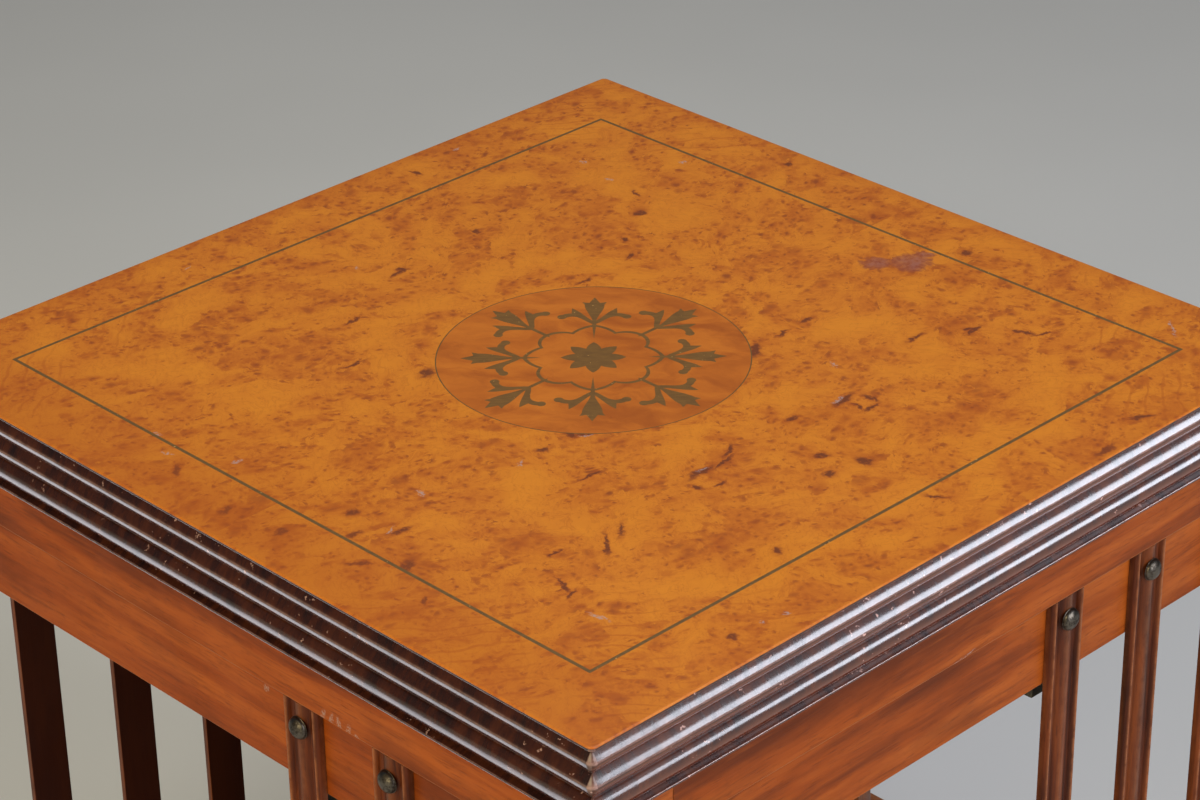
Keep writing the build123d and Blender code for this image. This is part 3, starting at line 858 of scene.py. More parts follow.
    def figure(self, tree: Tree) -> tuple[Socket, Socket, Socket]:
        """Lay out the leaves.

        Each leaf is mirrored from its neighbour and is the next slice off the same burr,
        so the fine figure differs a little from leaf to leaf.

        Args:
            tree: the material.

        Returns:
            True place, place on the leaf, and the leaf place pushed about by slow swirls.
        """
        place = tree.here()
        x, y, _ = tree.split(place)
        from_seam = tree.math("SUBTRACT", x, self.seam_x)
        leaf = tree.add(
            tree.times(tree.math("GREATER_THAN", from_seam, 0.0), 1.3 * MM),
            tree.times(tree.math("GREATER_THAN", y, 0.0), 40 * MM),
        )
        matched = tree.join(tree.math("ABSOLUTE", from_seam), y, leaf)
        swirled = tree.warp(tree.warp(matched, 17, 0.034), 60, 0.012, 3)
        return place, matched, swirled

    def paint(self, tree: Tree) -> None:
        """Paint streams of gold round crowded islands of eyes, then the marks of age.

        Args:
            tree: the material.
        """
        place, matched, swirled = self.figure(tree)
        soft = tree.warp(matched, 30, 0.016)

        crowd = self.gather(tree, soft, self.islands, 0.1)
        stream = self.gather(tree, soft, self.streams, 0.1)
        cloud = tree.noise(swirled, 46, 5, 0.66)
        flame = tree.noise(tree.fit(swirled, (1.0, 0.38, 1.0), turn=-62), 110, 4, 0.64)
        depth = tree.add(tree.times(cloud, 0.62), tree.times(flame, 0.38),
                         tree.times(crowd, 0.055), tree.times(stream, -0.060))
        body = tree.ramp(depth, 0.30, 0.84, (self.gold, self.amber, self.russet))

        fibre = tree.noise(tree.fit(matched, (1.0, 0.25, 1.0), turn=40), 520, 3, 0.7)
        body = tree.tint(body, self.russet, fibre, 0.50, 0.80, most=0.40)
        body = tree.tint(body, self.gold, fibre, 0.46, 0.20, most=0.40)
        curl = tree.noise(swirled, 150, 3, 0.6, 1.1)
        ridge = tree.math("ABSOLUTE", tree.math("SUBTRACT", curl, 0.5))
        body = tree.tint(body, self.russet, ridge, 0.030, 0.0, most=0.30)

        thick = tree.span(depth, 0.43, 0.56)
        slant = tree.fit(matched, (0.8, 1.2, 1.0), turn=24)
        body = self.eyes(tree, soft, thick, body, scale=120, reach=0.28, share=0.90, dark=0.45)
        body = self.eyes(tree, slant, thick, body, scale=190, reach=0.30, share=1.00, dark=0.70)
        body = self.eyes(tree, soft, thick, body, scale=330, reach=0.34, share=1.05, dark=0.62)
        body = self.growth_lines(tree, place, matched, body)
        body = self.age(tree, place, body)

        polish = tree.noise(place, 14, 3)
        rough = tree.span(polish, 0.3, 0.7, 0.30, 0.40)
        tree.finish(body, rough, self.orange_peel(tree, place), Coat_Weight=0.2,
                    Coat_Roughness=0.25, Specular_IOR_Level=0.3)

    def orange_peel(self, tree: Tree, place: Socket) -> Socket:
        """Ripple the polish as brushing leaves it."""
        return tree.bump(tree.noise(place, 260, 2), 0.02 * MM, 0.5)

    def eyes(self, tree: Tree, place: Socket, island: Socket, body: Socket, scale: float,
             reach: float, share: float, dark: float) -> Socket:
        """Scatter eyes where the islands are: ragged dark pips, each in a soft halo.

        Args:
            tree: the material.
            place: place on the leaf.
            island: how crowded the figure is.
            body: colour so far.
            scale: eyes to a metre.
            reach: radius of a pip as a share of its cell.
            share: how many of the cells hold an eye in the thick of an island.
            dark: how dark the darkest pips are.

        Returns:
            The colour with the eyes.
        """
        ragged = tree.warp(tree.warp(place, scale * 0.9, 0.9 / scale, 1), scale * 4, 0.30 / scale)
        cell = tree.cells(ragged, scale)
        luck, size, depth = tree.split(cell.outputs["Color"])
        held = tree.span(tree.math("SUBTRACT", tree.times(island, share), luck), 0.0, 0.12)
        radius = tree.times(tree.add(tree.times(size, size), 0.35), reach)
        away = cell.outputs["Distance"]
        middle = tree.span(away, tree.times(radius, 1.3), tree.times(radius, 0.3))
        halo = tree.span(away, tree.times(radius, 2.3), radius)
        body = tree.mix(tree.times(held, halo, 0.40), body, self.russet)
        shade = tree.times(tree.add(tree.times(depth, 0.6), 0.4), dark)
        return tree.mix(tree.times(held, middle, shade), body, self.pip)

    def growth_lines(self, tree: Tree, place: Socket, matched: Socket, body: Socket) -> Socket:
        """Draw the thin wavy year lines that show near the four corners.

        The lines are the level lines of a slow hill: the sine of many times its height.

        Args:
            tree: the material.
            place: true place.
            matched: place on the leaf.
            body: colour so far.

        Returns:
            The colour with the lines.
        """
        x, y, _ = tree.split(tree.vector("ABSOLUTE", place))
        wavy = tree.warp(tree.warp(matched, 24, 0.022), 110, 0.004)
        along_x, along_y, _ = tree.split(tree.vector("ABSOLUTE", wavy))
        hill = tree.add(tree.times(along_x, 0.62), tree.times(along_y, 0.78))
        line = tree.span(tree.math("SINE", tree.times(hill, 880)), 0.72, 1.0)
        corner = tree.times(tree.span(tree.add(x, y), 0.225, 0.295),
                            tree.span(tree.noise(place, 30), 0.42, 0.6))
        return tree.mix(tree.times(line, corner, 0.42), body, self.russet)

    def age(self, tree: Tree, place: Socket, body: Socket) -> Socket:
        """Add bark pockets, one wine stain, and painted glints and scuffs; redden the rims and the
        left side.

        Args:
            tree: the material.
            place: true place.
            body: colour so far.

        Returns:
            The colour with the marks.
        """
        rugged = tree.warp(tree.warp(place, 150, 0.0055), 620, 0.0034, 3)
        away = tree.nearest(rugged, self.scars)
        broken = tree.span(tree.noise(place, 700, 2), 0.30, 0.46, 0.45, 1.0)
        body = tree.tint(body, self.russet, away, 2.2, 0.8, most=0.42)
        body = tree.mix(tree.times(tree.span(away, 1.35, 0.7), broken, 0.70), body, self.pip)
        body = tree.mix(tree.times(tree.span(away, 0.95, 0.5), broken, 0.62), body, self.scar)

        shield = tree.warp(tree.warp(place, 130, 0.011), 420, 0.0050, 3)
        stained = self.gather(tree, shield, self.spill, 0.72)
        within = self.gather(tree, shield, self.spill, 0.10)
        mottled = tree.noise(place, 380, 4, 0.65)
        body = tree.mix(tree.times(stained, tree.span(mottled, 0.62, 0.38, 0.40, 0.85)),
                        body, self.stain)
        body = tree.mix(tree.times(within, tree.span(mottled, 0.34, 0.60, 0.0, 0.8)),
                        body, self.bloom)

        x, y, _ = tree.split(place)
        rim = tree.math("MAXIMUM", tree.math("ABSOLUTE", x), tree.math("ABSOLUTE", y))
        # redder more and more towards the left edge of the top
        left = tree.span(x, -0.130, -0.198, 0.0, 0.38)
        worn = tree.math("MAXIMUM", left, tree.span(rim, 0.188, 0.1992, 0.0, 0.30))
        body = tree.mix(worn, body, self.russet)

        # pale spots: painted glints, with some scuffs
        mark = tree.span(tree.nearest(rugged, self.flecks), 1.1, 0.5)
        speck = tree.span(tree.noise(place, 900, 1), 0.36, 0.56)
        return tree.mix(tree.times(mark, speck, 0.65), body, self.scuff)


@dataclass(frozen=True)
class MedallionGround(BurrVeneer):
    """The round ground of the medallion: one plainer, redder leaf."""

    gold: Triple = (0.62, 0.186, 0.020)
    amber: Triple = (0.53, 0.145, 0.016)
    russet: Triple = (0.39, 0.096, 0.012)

    def paint(self, tree: Tree) -> None:
        """Paint soft flame with a few darker brush-like streaks.

        Args:
            tree: the material.
        """
        place = tree.here()
        swirled = tree.warp(tree.warp(place, 26, 0.022), 90, 0.007, 3)
        flame = tree.noise(tree.fit(swirled, (1.0, 0.42, 1.0), turn=38), 60, 5, 0.6, 0.6)
        fibre = tree.noise(tree.fit(swirled, (1.0, 0.25, 1.0), turn=38), 420, 3, 0.7)
        body = tree.ramp(flame, 0.28, 0.72, (self.gold, self.amber, self.russet))
        body = tree.tint(body, self.russet, fibre, 0.5, 0.8, most=0.35)
        body = self.eyes(tree, swirled, tree.span(flame, 0.5, 0.8), body, scale=330, reach=0.30,
                         share=0.35, dark=0.4)
        tree.finish(body, 0.36, self.orange_peel(tree, place), Coat_Weight=0.15,
                    Coat_Roughness=0.25, Specular_IOR_Level=0.25)


@dataclass(frozen=True)
class StainedInlay(Finish):
    """Green-brown dyed wood, cut small and let into the ground."""

    body: Triple = (0.215, 0.104, 0.020)
    dark: Triple = (0.130, 0.060, 0.014)
    glint: Triple = (0.72, 0.42, 0.13)

    def paint(self, tree: Tree) -> None:
        """Paint fine straight grain, with rare painted glints.

        Args:
            tree: the material.
        """
        place = tree.here()
        fibre = tree.noise(tree.fit(place, (1.0, 0.16, 1.0), turn=45), 900, 3, 0.6)
        cloud = tree.noise(place, 120, 2)
        body = tree.tint(self.body, self.dark, fibre, 0.35, 0.7, most=0.6)
        body = tree.tint(body, self.dark, cloud, 0.5, 0.7, most=0.3)
        # painted glints: rare bright specks
        chip = tree.times(tree.span(tree.noise(place, 800, 1), 0.70, 0.74),
                          tree.span(tree.noise(place, 70, 1), 0.52, 0.58))
        body = tree.mix(tree.times(chip, 0.8), body, self.glint)
        tree.finish(body, 0.38, None, Coat_Weight=0.3, Coat_Roughness=0.22)


@dataclass(frozen=True)
class Timber(Finish):
    """Straight-grained timber under polish.

    Attributes:
        light, mid, dark: colours from early wood to the dark bands.
        worn: colour of rubbed edges.
        band: dark bands to a metre across the plank.
        pore: depth of the open pores in metres.
        mottle: share of the dark cloudy mottle.
        rough: roughness of the polish at its best.
        shine: specular level of the polish.
        coat: weight of the clear coat.
    """

    light: Triple = (0.40, 0.15, 0.05)
    mid: Triple = (0.30, 0.10, 0.035)
    dark: Triple = (0.12, 0.035, 0.015)
    worn: Triple = (0.45, 0.20, 0.08)
    band: float = 60.0
    pore: float = 0.03 * MM
    mottle: float = 0.5
    rough: float = 0.3
    shine: float = 0.5
    coat: float = 0.4

    def paint(self, tree: Tree) -> None:
        """Paint long bands, short pores and rubbed edges, and painted shade where the wear is below
        nought.

        Args:
            tree: the material.
        """
        plank = tree.grain()
        wavy = tree.warp(plank, 9, 0.010)
        band = tree.noise(tree.fit(wavy, (0.09, 1.0, 1.0)), self.band, 4, 0.6, 0.4)
        cloud = tree.noise(tree.fit(wavy, (0.35, 1.0, 1.0)), 34, 4, 0.6)
        streak = tree.noise(tree.fit(wavy, (0.05, 1.0, 1.0)), self.band * 7, 3, 0.65)
        body = tree.ramp(band, 0.25, 0.75, (self.light, self.mid, self.dark))
        body = tree.tint(body, self.dark, cloud, 0.48, 0.70, most=self.mottle)
        body = tree.tint(body, self.dark, streak, 0.5, 0.78, most=0.45)
        body = tree.tint(body, self.light, streak, 0.46, 0.2, most=0.35)

        pores = tree.noise(tree.fit(plank, (0.06, 1.0, 1.0)), 1900, 1, 0.4)
        pore = tree.span(pores, 0.60, 0.70)
        body = tree.mix(tree.times(pore, 0.40), body, self.dark)
        fine = tree.noise(tree.fit(wavy, (0.4, 1.0, 1.0)), 300, 4, 0.7)
        body = tree.tint(body, self.dark, fine, 0.50, 0.80, most=0.40)
        # painted shade: dark colour where the wear is below nought, the backs of the slats
        body = tree.mix(tree.times(tree.dullness(), 0.9), self.rub(tree, plank, body), self.dark)

        smoky = tree.noise(plank, 45, 3)
        rough = tree.span(smoky, 0.3, 0.7, self.rough, self.rough + 0.12)
        dents = tree.bump(tree.noise(plank, 55, 2), 0.10 * MM, 0.5)
        grain = tree.bump(tree.times(pore, -1.0), self.pore, 0.7, dents)
        tree.finish(body, rough, grain, Specular_IOR_Level=self.shine, Coat_Weight=self.coat,
                    Coat_Roughness=0.16)

    def rub(self, tree: Tree, plank: Socket, body: Socket) -> Socket:
        """Lighten the edges where the polish is rubbed through, in uneven runs."""
        uneven = tree.span(tree.noise(plank, 160, 4, 0.7), 0.30, 0.62, 0.25, 1.0)
        return tree.mix(tree.times(tree.wear(), uneven, 0.75), body, self.worn)


@dataclass(frozen=True)
class CarcaseTimber(Finish):
    """Sawn pale timber of the hidden boards, whose grain follows the frame's X."""

    light: Triple = (0.52, 0.35, 0.19)
    dark: Triple = (0.30, 0.175, 0.085)

    def paint(self, tree: Tree) -> None:
        """Paint cathedral bands and saw marks.

        Args:
            tree: the material.
        """
        place = tree.here()
        wavy = tree.warp(place, 7, 0.02)
        band = tree.noise(tree.fit(wavy, (0.10, 1.0, 1.0)), 70, 4, 0.6)
        body = tree.mix(tree.span(band, 0.35, 0.68), self.light, self.dark)
        saw = tree.noise(tree.fit(place, (1.0, 0.05, 1.0)), 600, 2)
        tree.finish(body, 0.72, tree.bump(saw, 0.08 * MM, 0.6))


@dataclass(frozen=True)
class KnockedTimber(Timber):
    """Timber of the friezes, with a few pale knocks beside the slats.

    Attributes:
        scuff: colour of a knock.
        left: knocks on the left face, by Y and height.
        front: knocks on the front face, by X and height.
    """

    scuff: Triple = (0.42, 0.33, 0.31)
    left: tuple[Blot, ...] = blots(
        (-55, 345, 1.4, 3.4, 20), (-59.5, 344.5, 1.2, 4.6, 15), (-64, 345, 1.5, 3.8, -10),
        (-69, 344, 1.3, 4.2, 12), (-73.5, 342.5, 2, 2.8), (-17.5, 338, 1.8, 2, 40),
        (-22, 342.5, 2.2, 1.2, 10),
    )
    front: tuple[Blot, ...] = blots(
        (-3, 344.5, 7, 0.5, 8), (-11, 342.5, 2.4, 0.6, 20),
    )

    def rub(self, tree: Tree, plank: Socket, body: Socket) -> Socket:
        """Rub the edges, then add the knocks.

        Args:
            tree: the material.
            plank: place within the plank.
            body: colour so far.

        Returns:
            The colour with both.
        """
        body = super().rub(tree, plank, body)
        x, y, z = tree.split(tree.here())
        for along, out, marks in ((y, x, self.left), (x, y, self.front)):
            ragged = tree.warp(tree.join(along, z, 0.0), 700, 0.0016)
            mark = tree.span(tree.nearest(ragged, marks), 1.05, 0.75)
            broken = tree.span(tree.noise(plank, 1600, 3, 0.7), 0.44, 0.58)
            facing = tree.math("LESS_THAN", out, -0.18)
            body = tree.mix(tree.times(mark, broken, facing, 0.55), body, self.scuff)
        return body


@dataclass(frozen=True)
class WornGloss(Timber):
    """Near-black glazed mahogany of the reeded edge, its gloss broken by fine cross scratches.

    Attributes:
        sheltered: a redder colour painted as shade under the noses of the reeds.
    """

    light: Triple = (0.070, 0.018, 0.007)
    mid: Triple = (0.036, 0.009, 0.005)
    dark: Triple = (0.012, 0.004, 0.004)
    worn: Triple = (0.56, 0.33, 0.28)
    rough: float = 0.18
    sheltered: Triple = (0.085, 0.015, 0.003)

    def paint(self, tree: Tree) -> None:
        """Paint glaze combed across the reeds, and painted shade under their noses.

        Args:
            tree: the material.
        """
        plank = tree.grain()
        comb = tree.noise(tree.fit(plank, (1.0, 0.10, 0.10)), 1500, 3, 0.75)
        smear = tree.noise(tree.fit(plank, (1.0, 0.35, 0.35)), 160, 4, 0.65)
        cloud = tree.noise(plank, 30, 3)
        body = tree.ramp(smear, 0.25, 0.75, (self.light, self.mid, self.dark), middle=0.55)
        body = tree.tint(body, self.light, cloud, 0.5, 0.75, most=0.5)
        # painted shade under the noses: the wear below nought blends in a redder colour
        dull = tree.dullness()
        uneven = tree.span(tree.noise(plank, 120, 4, 0.7), 0.25, 0.60, 0.55, 1.0)
        body = tree.mix(tree.times(dull, uneven), body, self.sheltered)
        chip = tree.times(tree.span(tree.noise(plank, 330, 3, 0.6), 0.66, 0.70),
                          tree.span(tree.noise(plank, 26, 1), 0.50, 0.60))
        body = tree.mix(tree.times(chip, 0.7), body, self.worn)
        body = self.rub(tree, plank, body)
        rough = tree.add(self.rough, tree.span(comb, 0.40, 0.78, 0.0, 0.08),
                         tree.span(smear, 0.45, 0.7, 0.0, 0.06), tree.times(dull, -0.05))
        dents = tree.bump(tree.noise(plank, 70, 2), 0.12 * MM, 0.6)
        scratches = tree.bump(comb, 0.010 * MM, 0.5, dents)
        tree.finish(body, rough, scratches, Specular_IOR_Level=0.5)


class Surfacing(Enum):
    """How a metal's surface was left."""

    CAST = "cast"
    TURNED = "turned"


@dataclass(frozen=True)
class Metal(Finish):
    """Bare or antiqued metal.

    Attributes:
        bright: colour where it is rubbed.
        dull: colour of its tarnish.
        tarnish: share of the surface that is tarnished.
        rough: roughness of the bright metal.
        surfacing: how it was left.
    """

    bright: Triple = (0.62, 0.60, 0.57)
    dull: Triple = (0.20, 0.18, 0.15)
    tarnish: float = 0.4
    rough: float = 0.28
    surfacing: Surfacing = Surfacing.CAST

    def paint(self, tree: Tree) -> None:
        """Paint blotches of tarnish, and the fine marks of casting or turning.

        Args:
            tree: the material.
        """
        place = tree.here()
        blotch = tree.noise(place, 260, 4, 0.65)
        speck = tree.noise(place, 1500, 3)
        dull = tree.span(tree.add(blotch, tree.times(tree.math("SUBTRACT", speck, 0.5), 0.3)),
                         0.75 - self.tarnish * 0.55, 0.95 - self.tarnish * 0.55)
        body = tree.mix(dull, self.bright, self.dull)
        rough = tree.span(dull, 0.0, 1.0, self.rough, self.rough + 0.22)
        if self.surfacing is Surfacing.TURNED:
            x, y, _ = tree.split(place)
            radius = tree.vector("LENGTH", tree.join(x, y, 0.0))
            marks = tree.noise(tree.join(radius, 0.0, 0.0), 4000, 2)
        else:
            marks = tree.noise(place, 420, 2)
        normal = tree.bump(marks, 0.03 * MM, 0.4)
        tree.finish(body, rough, normal, Metallic=1.0)


@dataclass(frozen=True)
class Felt(Finish):
    """Dark green pressed felt."""

    body: Triple = (0.018, 0.050, 0.028)
    tip: Triple = (0.050, 0.095, 0.060)

    def paint(self, tree: Tree) -> None:
        """Paint matted fibres.

        Args:
            tree: the material.
        """
        place = tree.here()
        fibre = tree.noise(tree.warp(place, 900, 0.0016), 1700, 4, 0.7, 1.2)
        body = tree.mix(tree.span(fibre, 0.35, 0.7), self.body, self.tip)
        tree.finish(body, 0.95, tree.bump(fibre, 0.15 * MM, 0.8), Sheen_Weight=0.4,
                    Sheen_Roughness=0.5)


@dataclass(frozen=True)
class Paper(Finish):
    """Plain pale studio paper."""

    body: Triple = (0.72, 0.715, 0.705)

    def paint(self, tree: Tree) -> None:
        """Paint a faint unevenness.

        Args:
            tree: the material.
        """
        cloud = tree.noise(tree.here(), 3, 2)
        shade = tuple(0.96 * c for c in self.body)
        tree.finish(tree.mix(tree.span(cloud, 0.3, 0.7), self.body, shade), 0.85)


BURR = BurrVeneer("burr_veneer")
GROUND = MedallionGround("medallion_ground")
MARQUETRY = StainedInlay("marquetry")
STRINGING = StainedInlay("stringing", body=(0.180, 0.096, 0.024), dark=(0.110, 0.060, 0.018))
GLAZED = WornGloss("edge_moulding")
FRIEZE_WOOD = KnockedTimber("frieze_wood", light=(0.42, 0.098, 0.014),
                            mid=(0.295, 0.057, 0.007), dark=(0.110, 0.021, 0.005),
                            worn=(0.40, 0.14, 0.04), mottle=0.5, shine=0.10, coat=0.0)
RAIL_WOOD = Timber("bottom_rail_wood", light=(0.40, 0.125, 0.030), mid=(0.28, 0.078, 0.020),
                   dark=(0.100, 0.025, 0.012), worn=(0.46, 0.20, 0.09), mottle=0.6)
SLAT_WOOD = Timber("slat_wood", light=(0.22, 0.051, 0.010), mid=(0.115, 0.024, 0.007),
                   dark=(0.032, 0.009, 0.006), worn=(0.46, 0.17, 0.07), band=110,
                   shine=0.14, coat=0.0)
BEARER_WOOD = Timber("bearer_timber", light=(0.085, 0.070, 0.042), mid=(0.055, 0.046, 0.030),
                     dark=(0.022, 0.019, 0.014), worn=(0.13, 0.11, 0.07), rough=0.5, coat=0.0)
DIVIDER_WOOD = Timber("divider_wood", light=(0.30, 0.095, 0.028), mid=(0.20, 0.058, 0.019),
                      dark=(0.075, 0.021, 0.011), worn=(0.40, 0.17, 0.08), band=45)
SHELF_WOOD = Timber("shelf_wood", light=(0.33, 0.105, 0.030), mid=(0.23, 0.068, 0.021),
                    dark=(0.085, 0.024, 0.012), worn=(0.42, 0.18, 0.08), band=38)
BASE_WOOD = Timber("base_wood", light=(0.24, 0.066, 0.019), mid=(0.150, 0.039, 0.013),
                   dark=(0.048, 0.014, 0.008), worn=(0.40, 0.16, 0.07), band=50, coat=0.5)
CORE_WOOD = CarcaseTimber("core_timber")
PEWTER = Metal("stud_metal", bright=(0.125, 0.108, 0.090), dull=(0.042, 0.033, 0.027),
               tarnish=0.62, rough=0.30)
BRASS = Metal("brass", bright=(0.78, 0.56, 0.25), dull=(0.40, 0.26, 0.11), tarnish=0.35,
              surfacing=Surfacing.TURNED)
STEEL = Metal("steel", bright=(0.66, 0.66, 0.67), dull=(0.34, 0.33, 0.32), tarnish=0.3,
              surfacing=Surfacing.TURNED)
SCREW_METAL = Metal("screw_metal", bright=(0.60, 0.58, 0.52), dull=(0.28, 0.25, 0.20))
FELT = Felt("felt")


# ---------------------------------------------------------------- the bookcase


@dataclass(frozen=True)
class Levels:
    """Faces and heights of the case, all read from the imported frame."""

    nose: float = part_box("top_moulding_front")[1].x
    core_face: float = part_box("top_core_board")[1].x
    core_bottom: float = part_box("top_core_board")[0].z
    veneer_bottom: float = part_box("burr_panel")[0].z
    table_top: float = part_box("burr_panel")[1].z
    arris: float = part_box("burr_border")[1].x
    moulding_bottom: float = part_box("top_moulding_front")[0].z
    string_outside: float = (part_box("stringing")[1].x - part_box("stringing")[0].x) / 2
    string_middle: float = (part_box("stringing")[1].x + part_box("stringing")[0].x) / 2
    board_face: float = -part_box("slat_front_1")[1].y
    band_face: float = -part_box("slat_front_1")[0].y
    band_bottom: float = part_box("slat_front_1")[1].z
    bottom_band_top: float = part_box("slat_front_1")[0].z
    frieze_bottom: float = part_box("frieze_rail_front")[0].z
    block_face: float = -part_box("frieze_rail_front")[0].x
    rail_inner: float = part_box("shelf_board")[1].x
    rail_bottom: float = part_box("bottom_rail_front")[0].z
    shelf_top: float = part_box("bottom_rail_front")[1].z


LEVELS = Levels()


@dataclass
class SubAssembly:
    """Part of the bookcase that is built and dressed together."""

    title: str = ""
    body: str = "carcase"

    def build(self) -> list[Thing]:
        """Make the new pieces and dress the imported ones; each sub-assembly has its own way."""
        raise NotImplementedError

    def own(self, name: str, surfaces: list[Surface], finish: Finish, *nodes: str) -> Thing:
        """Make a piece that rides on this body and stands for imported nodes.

        Args:
            name: the piece's name.
            surfaces: its closed skins.
            finish: its finish.
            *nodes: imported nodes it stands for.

        Returns:
            The piece.
        """
        piece = make_piece(name, surfaces)
        finish.dress(piece)
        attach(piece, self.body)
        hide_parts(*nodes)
        return piece

    def keep(self, finish: Finish, *nodes: str) -> list[Thing]:
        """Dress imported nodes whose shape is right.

        Args:
            finish: their finish.
            *nodes: their names.

        Returns:
            The nodes' objects.
        """
        kept = [frame["nodes"][node] for node in nodes]
        for node in kept:
            finish.dress(node)
        return kept


@dataclass
class Tabletop(SubAssembly):
    """Burr veneers, marquetry medallion, core board and the mitred reeded moulding."""

    title: str = "tabletop"
    reed_pitch: float = 9.6 * MM
    reed_depth: float = 3.1 * MM
    reed_steps: int = 11
    nose_drop: float = 4.4 * MM  # from the groove above a reed to its nose
    nose_wear: float = 0.5 * MM
    reed_crown: float = 0.42 * MM  # bulge of the flat above the nose
    crisp_reeds: int = 2
    last_reed: float = 1.3 * MM  # the round reed is this much taller than the crisp ones
    flat_above: float = 1.0 * MM  # between the veneer and the first reed
    foot_face: float = 1.0 * MM
    foot_inset: float = 0.4 * MM
    lip_drop: float = 1.0 * MM  # the foot hangs this far over the frieze's face
    lip_gap: float = 0.15 * MM
    veneer_arris: float = 0.55 * MM
    veneer_corner: float = 2.5 * MM
    mitre_sharp: float = 0.15 * MM  # radius of the corners in the grooves
    mitre_wear: float = 2.8 * MM  # and what the noses have besides
    mitre_bend: tuple[float, ...] = (45, 40, 33, 25, 16, 8, 0)
    mitre_rub: float = 0.5
    straight_reach: float = 0.985
    straight_rows: int = 81
    dent: float = 0.07 * MM
    dent_fade: float = 12 * MM  # the dents die away this far from the mitres
    kept_gloss: float = 0.2  # share of the painted shade under the noses on the back and left sides

    def build(self) -> list[Thing]:
        """Build the top.

        Returns:
            Its pieces.
        """
        kept = self.keep(BURR, "burr_panel") + self.keep(GROUND, "medallion_ground")
        kept += self.keep(MARQUETRY, "medallion_rosette", "medallion_wreath")
        kept += self.keep(STRINGING, "stringing") + self.keep(CORE_WOOD, "top_core_board")
        return kept + [self.border()] + [self.moulding(side) for side in Side]

    def border(self) -> Thing:
        """Lay the burr outside the stringing.

        Rings run from the stringing out over the top, round the rubbed arris, down the
        edge and back underneath; each ring is a rounded square, and those at the
        stringing share its middle.

        Returns:
            The border.
        """
        inner, outer = LEVELS.string_outside, LEVELS.arris
        low, high = LEVELS.veneer_bottom, LEVELS.table_top
        inset, rise = quarter(self.veneer_arris, FINE_STEPS)
        flat = [inner, inner + 2 * MM, outer - 2 * MM, outer - self.veneer_arris - 0.2 * MM]
        half = np.concatenate([flat, outer - rise[::-1], [outer, inner, inner]])
        up = np.concatenate([[high] * len(flat), high - inset[::-1], [low, low, high]])
        radius = np.clip(self.veneer_corner + half - outer, 0.02 * MM, None)
        radius[[0, -2, -1]] = 0.0
        plan = np.array([rounded_rectangle(h, h, r, 9) for h, r in zip(half, radius)])
        plan[[0, 1, -2, -1], :, 0] += LEVELS.string_middle
        points = raised(plan, up)
        wear = np.zeros(plan.shape[:2])
        wear[len(flat):len(flat) + FINE_STEPS] = 1.0
        surface = Surface(points, points, wear, ends=False)
        return self.own("border_veneer", [surface], BURR, "burr_border")

    def reed(self, top: float, crisp: bool) -> tuple[Array, Array]:
        """Section of one reed, from the groove above it to the groove below.

        Below the nose it is a circular arc that leaves the nose upright, of the radius
        (h^2 + d^2) / 2d for a height h and a depth d. Above the nose a crisp reed is a flat
        parabola that meets it in a worn corner, and a round reed is another upright arc.

        Args:
            top: height of the groove above.
            crisp: whether the nose is a corner.

        Returns:
            Points (n, 2), out and up, and their wear, below nought for painted shade under the
            nose.
        """
        tip, depth = np.array([LEVELS.nose, top - self.nose_drop]), self.reed_depth
        t = np.linspace(0, 1, self.reed_steps)[:, None]

        def upright(height: float, start: float) -> Array:
            """Arc that leaves the nose upright, from start along it to a groove.

            Args:
                height: rise to the groove, less than nought downwards.
                start: length of arc that is left out at the nose.

            Returns:
                Its points (n, 2).
            """
            radius = (height**2 + depth**2) / (2 * depth)
            angle = start / radius + t * (math.asin(abs(height) / radius) - start / radius)
            return tip + radius * np.concatenate(
                [np.cos(angle) - 1, math.copysign(1.0, height) * np.sin(angle)], axis=1)

        worn = self.nose_wear if crisp else 0.0
        pitch = self.reed_pitch if crisp else self.reed_pitch + self.last_reed
        below = upright(self.nose_drop - pitch, worn)
        if not crisp:
            above = upright(self.nose_drop, 0.0)[:0:-1]
            # under the nose the wear goes down to -1: painted shade
            dull = np.clip(t[:, 0] * 3, 0, 1)
            return np.concatenate([above, below]), np.concatenate([np.zeros(len(above)), -dull])
        run = np.array([depth, -self.nose_drop])
        length = np.linalg.norm(run)
        bulge = 4 * self.reed_crown * np.array([self.nose_drop, depth]) / length
        share = t * (1 - worn / length)
        above = tip - run + share * run + share * (1 - share) * bulge
        bend = t[1:-1:2]
        corner = (1 - bend) ** 2 * above[-1] + 2 * bend * (1 - bend) * tip + bend**2 * below[0]
        # the wear goes down to -1 under the nose: painted shade
        rub = [np.clip(share[:, 0] - 0.8, 0, 1), np.full(len(bend), 0.3),
               -np.clip(t[:, 0] * 5, 0, 1)]
        return np.concatenate([above, corner, below]), np.concatenate(rub)

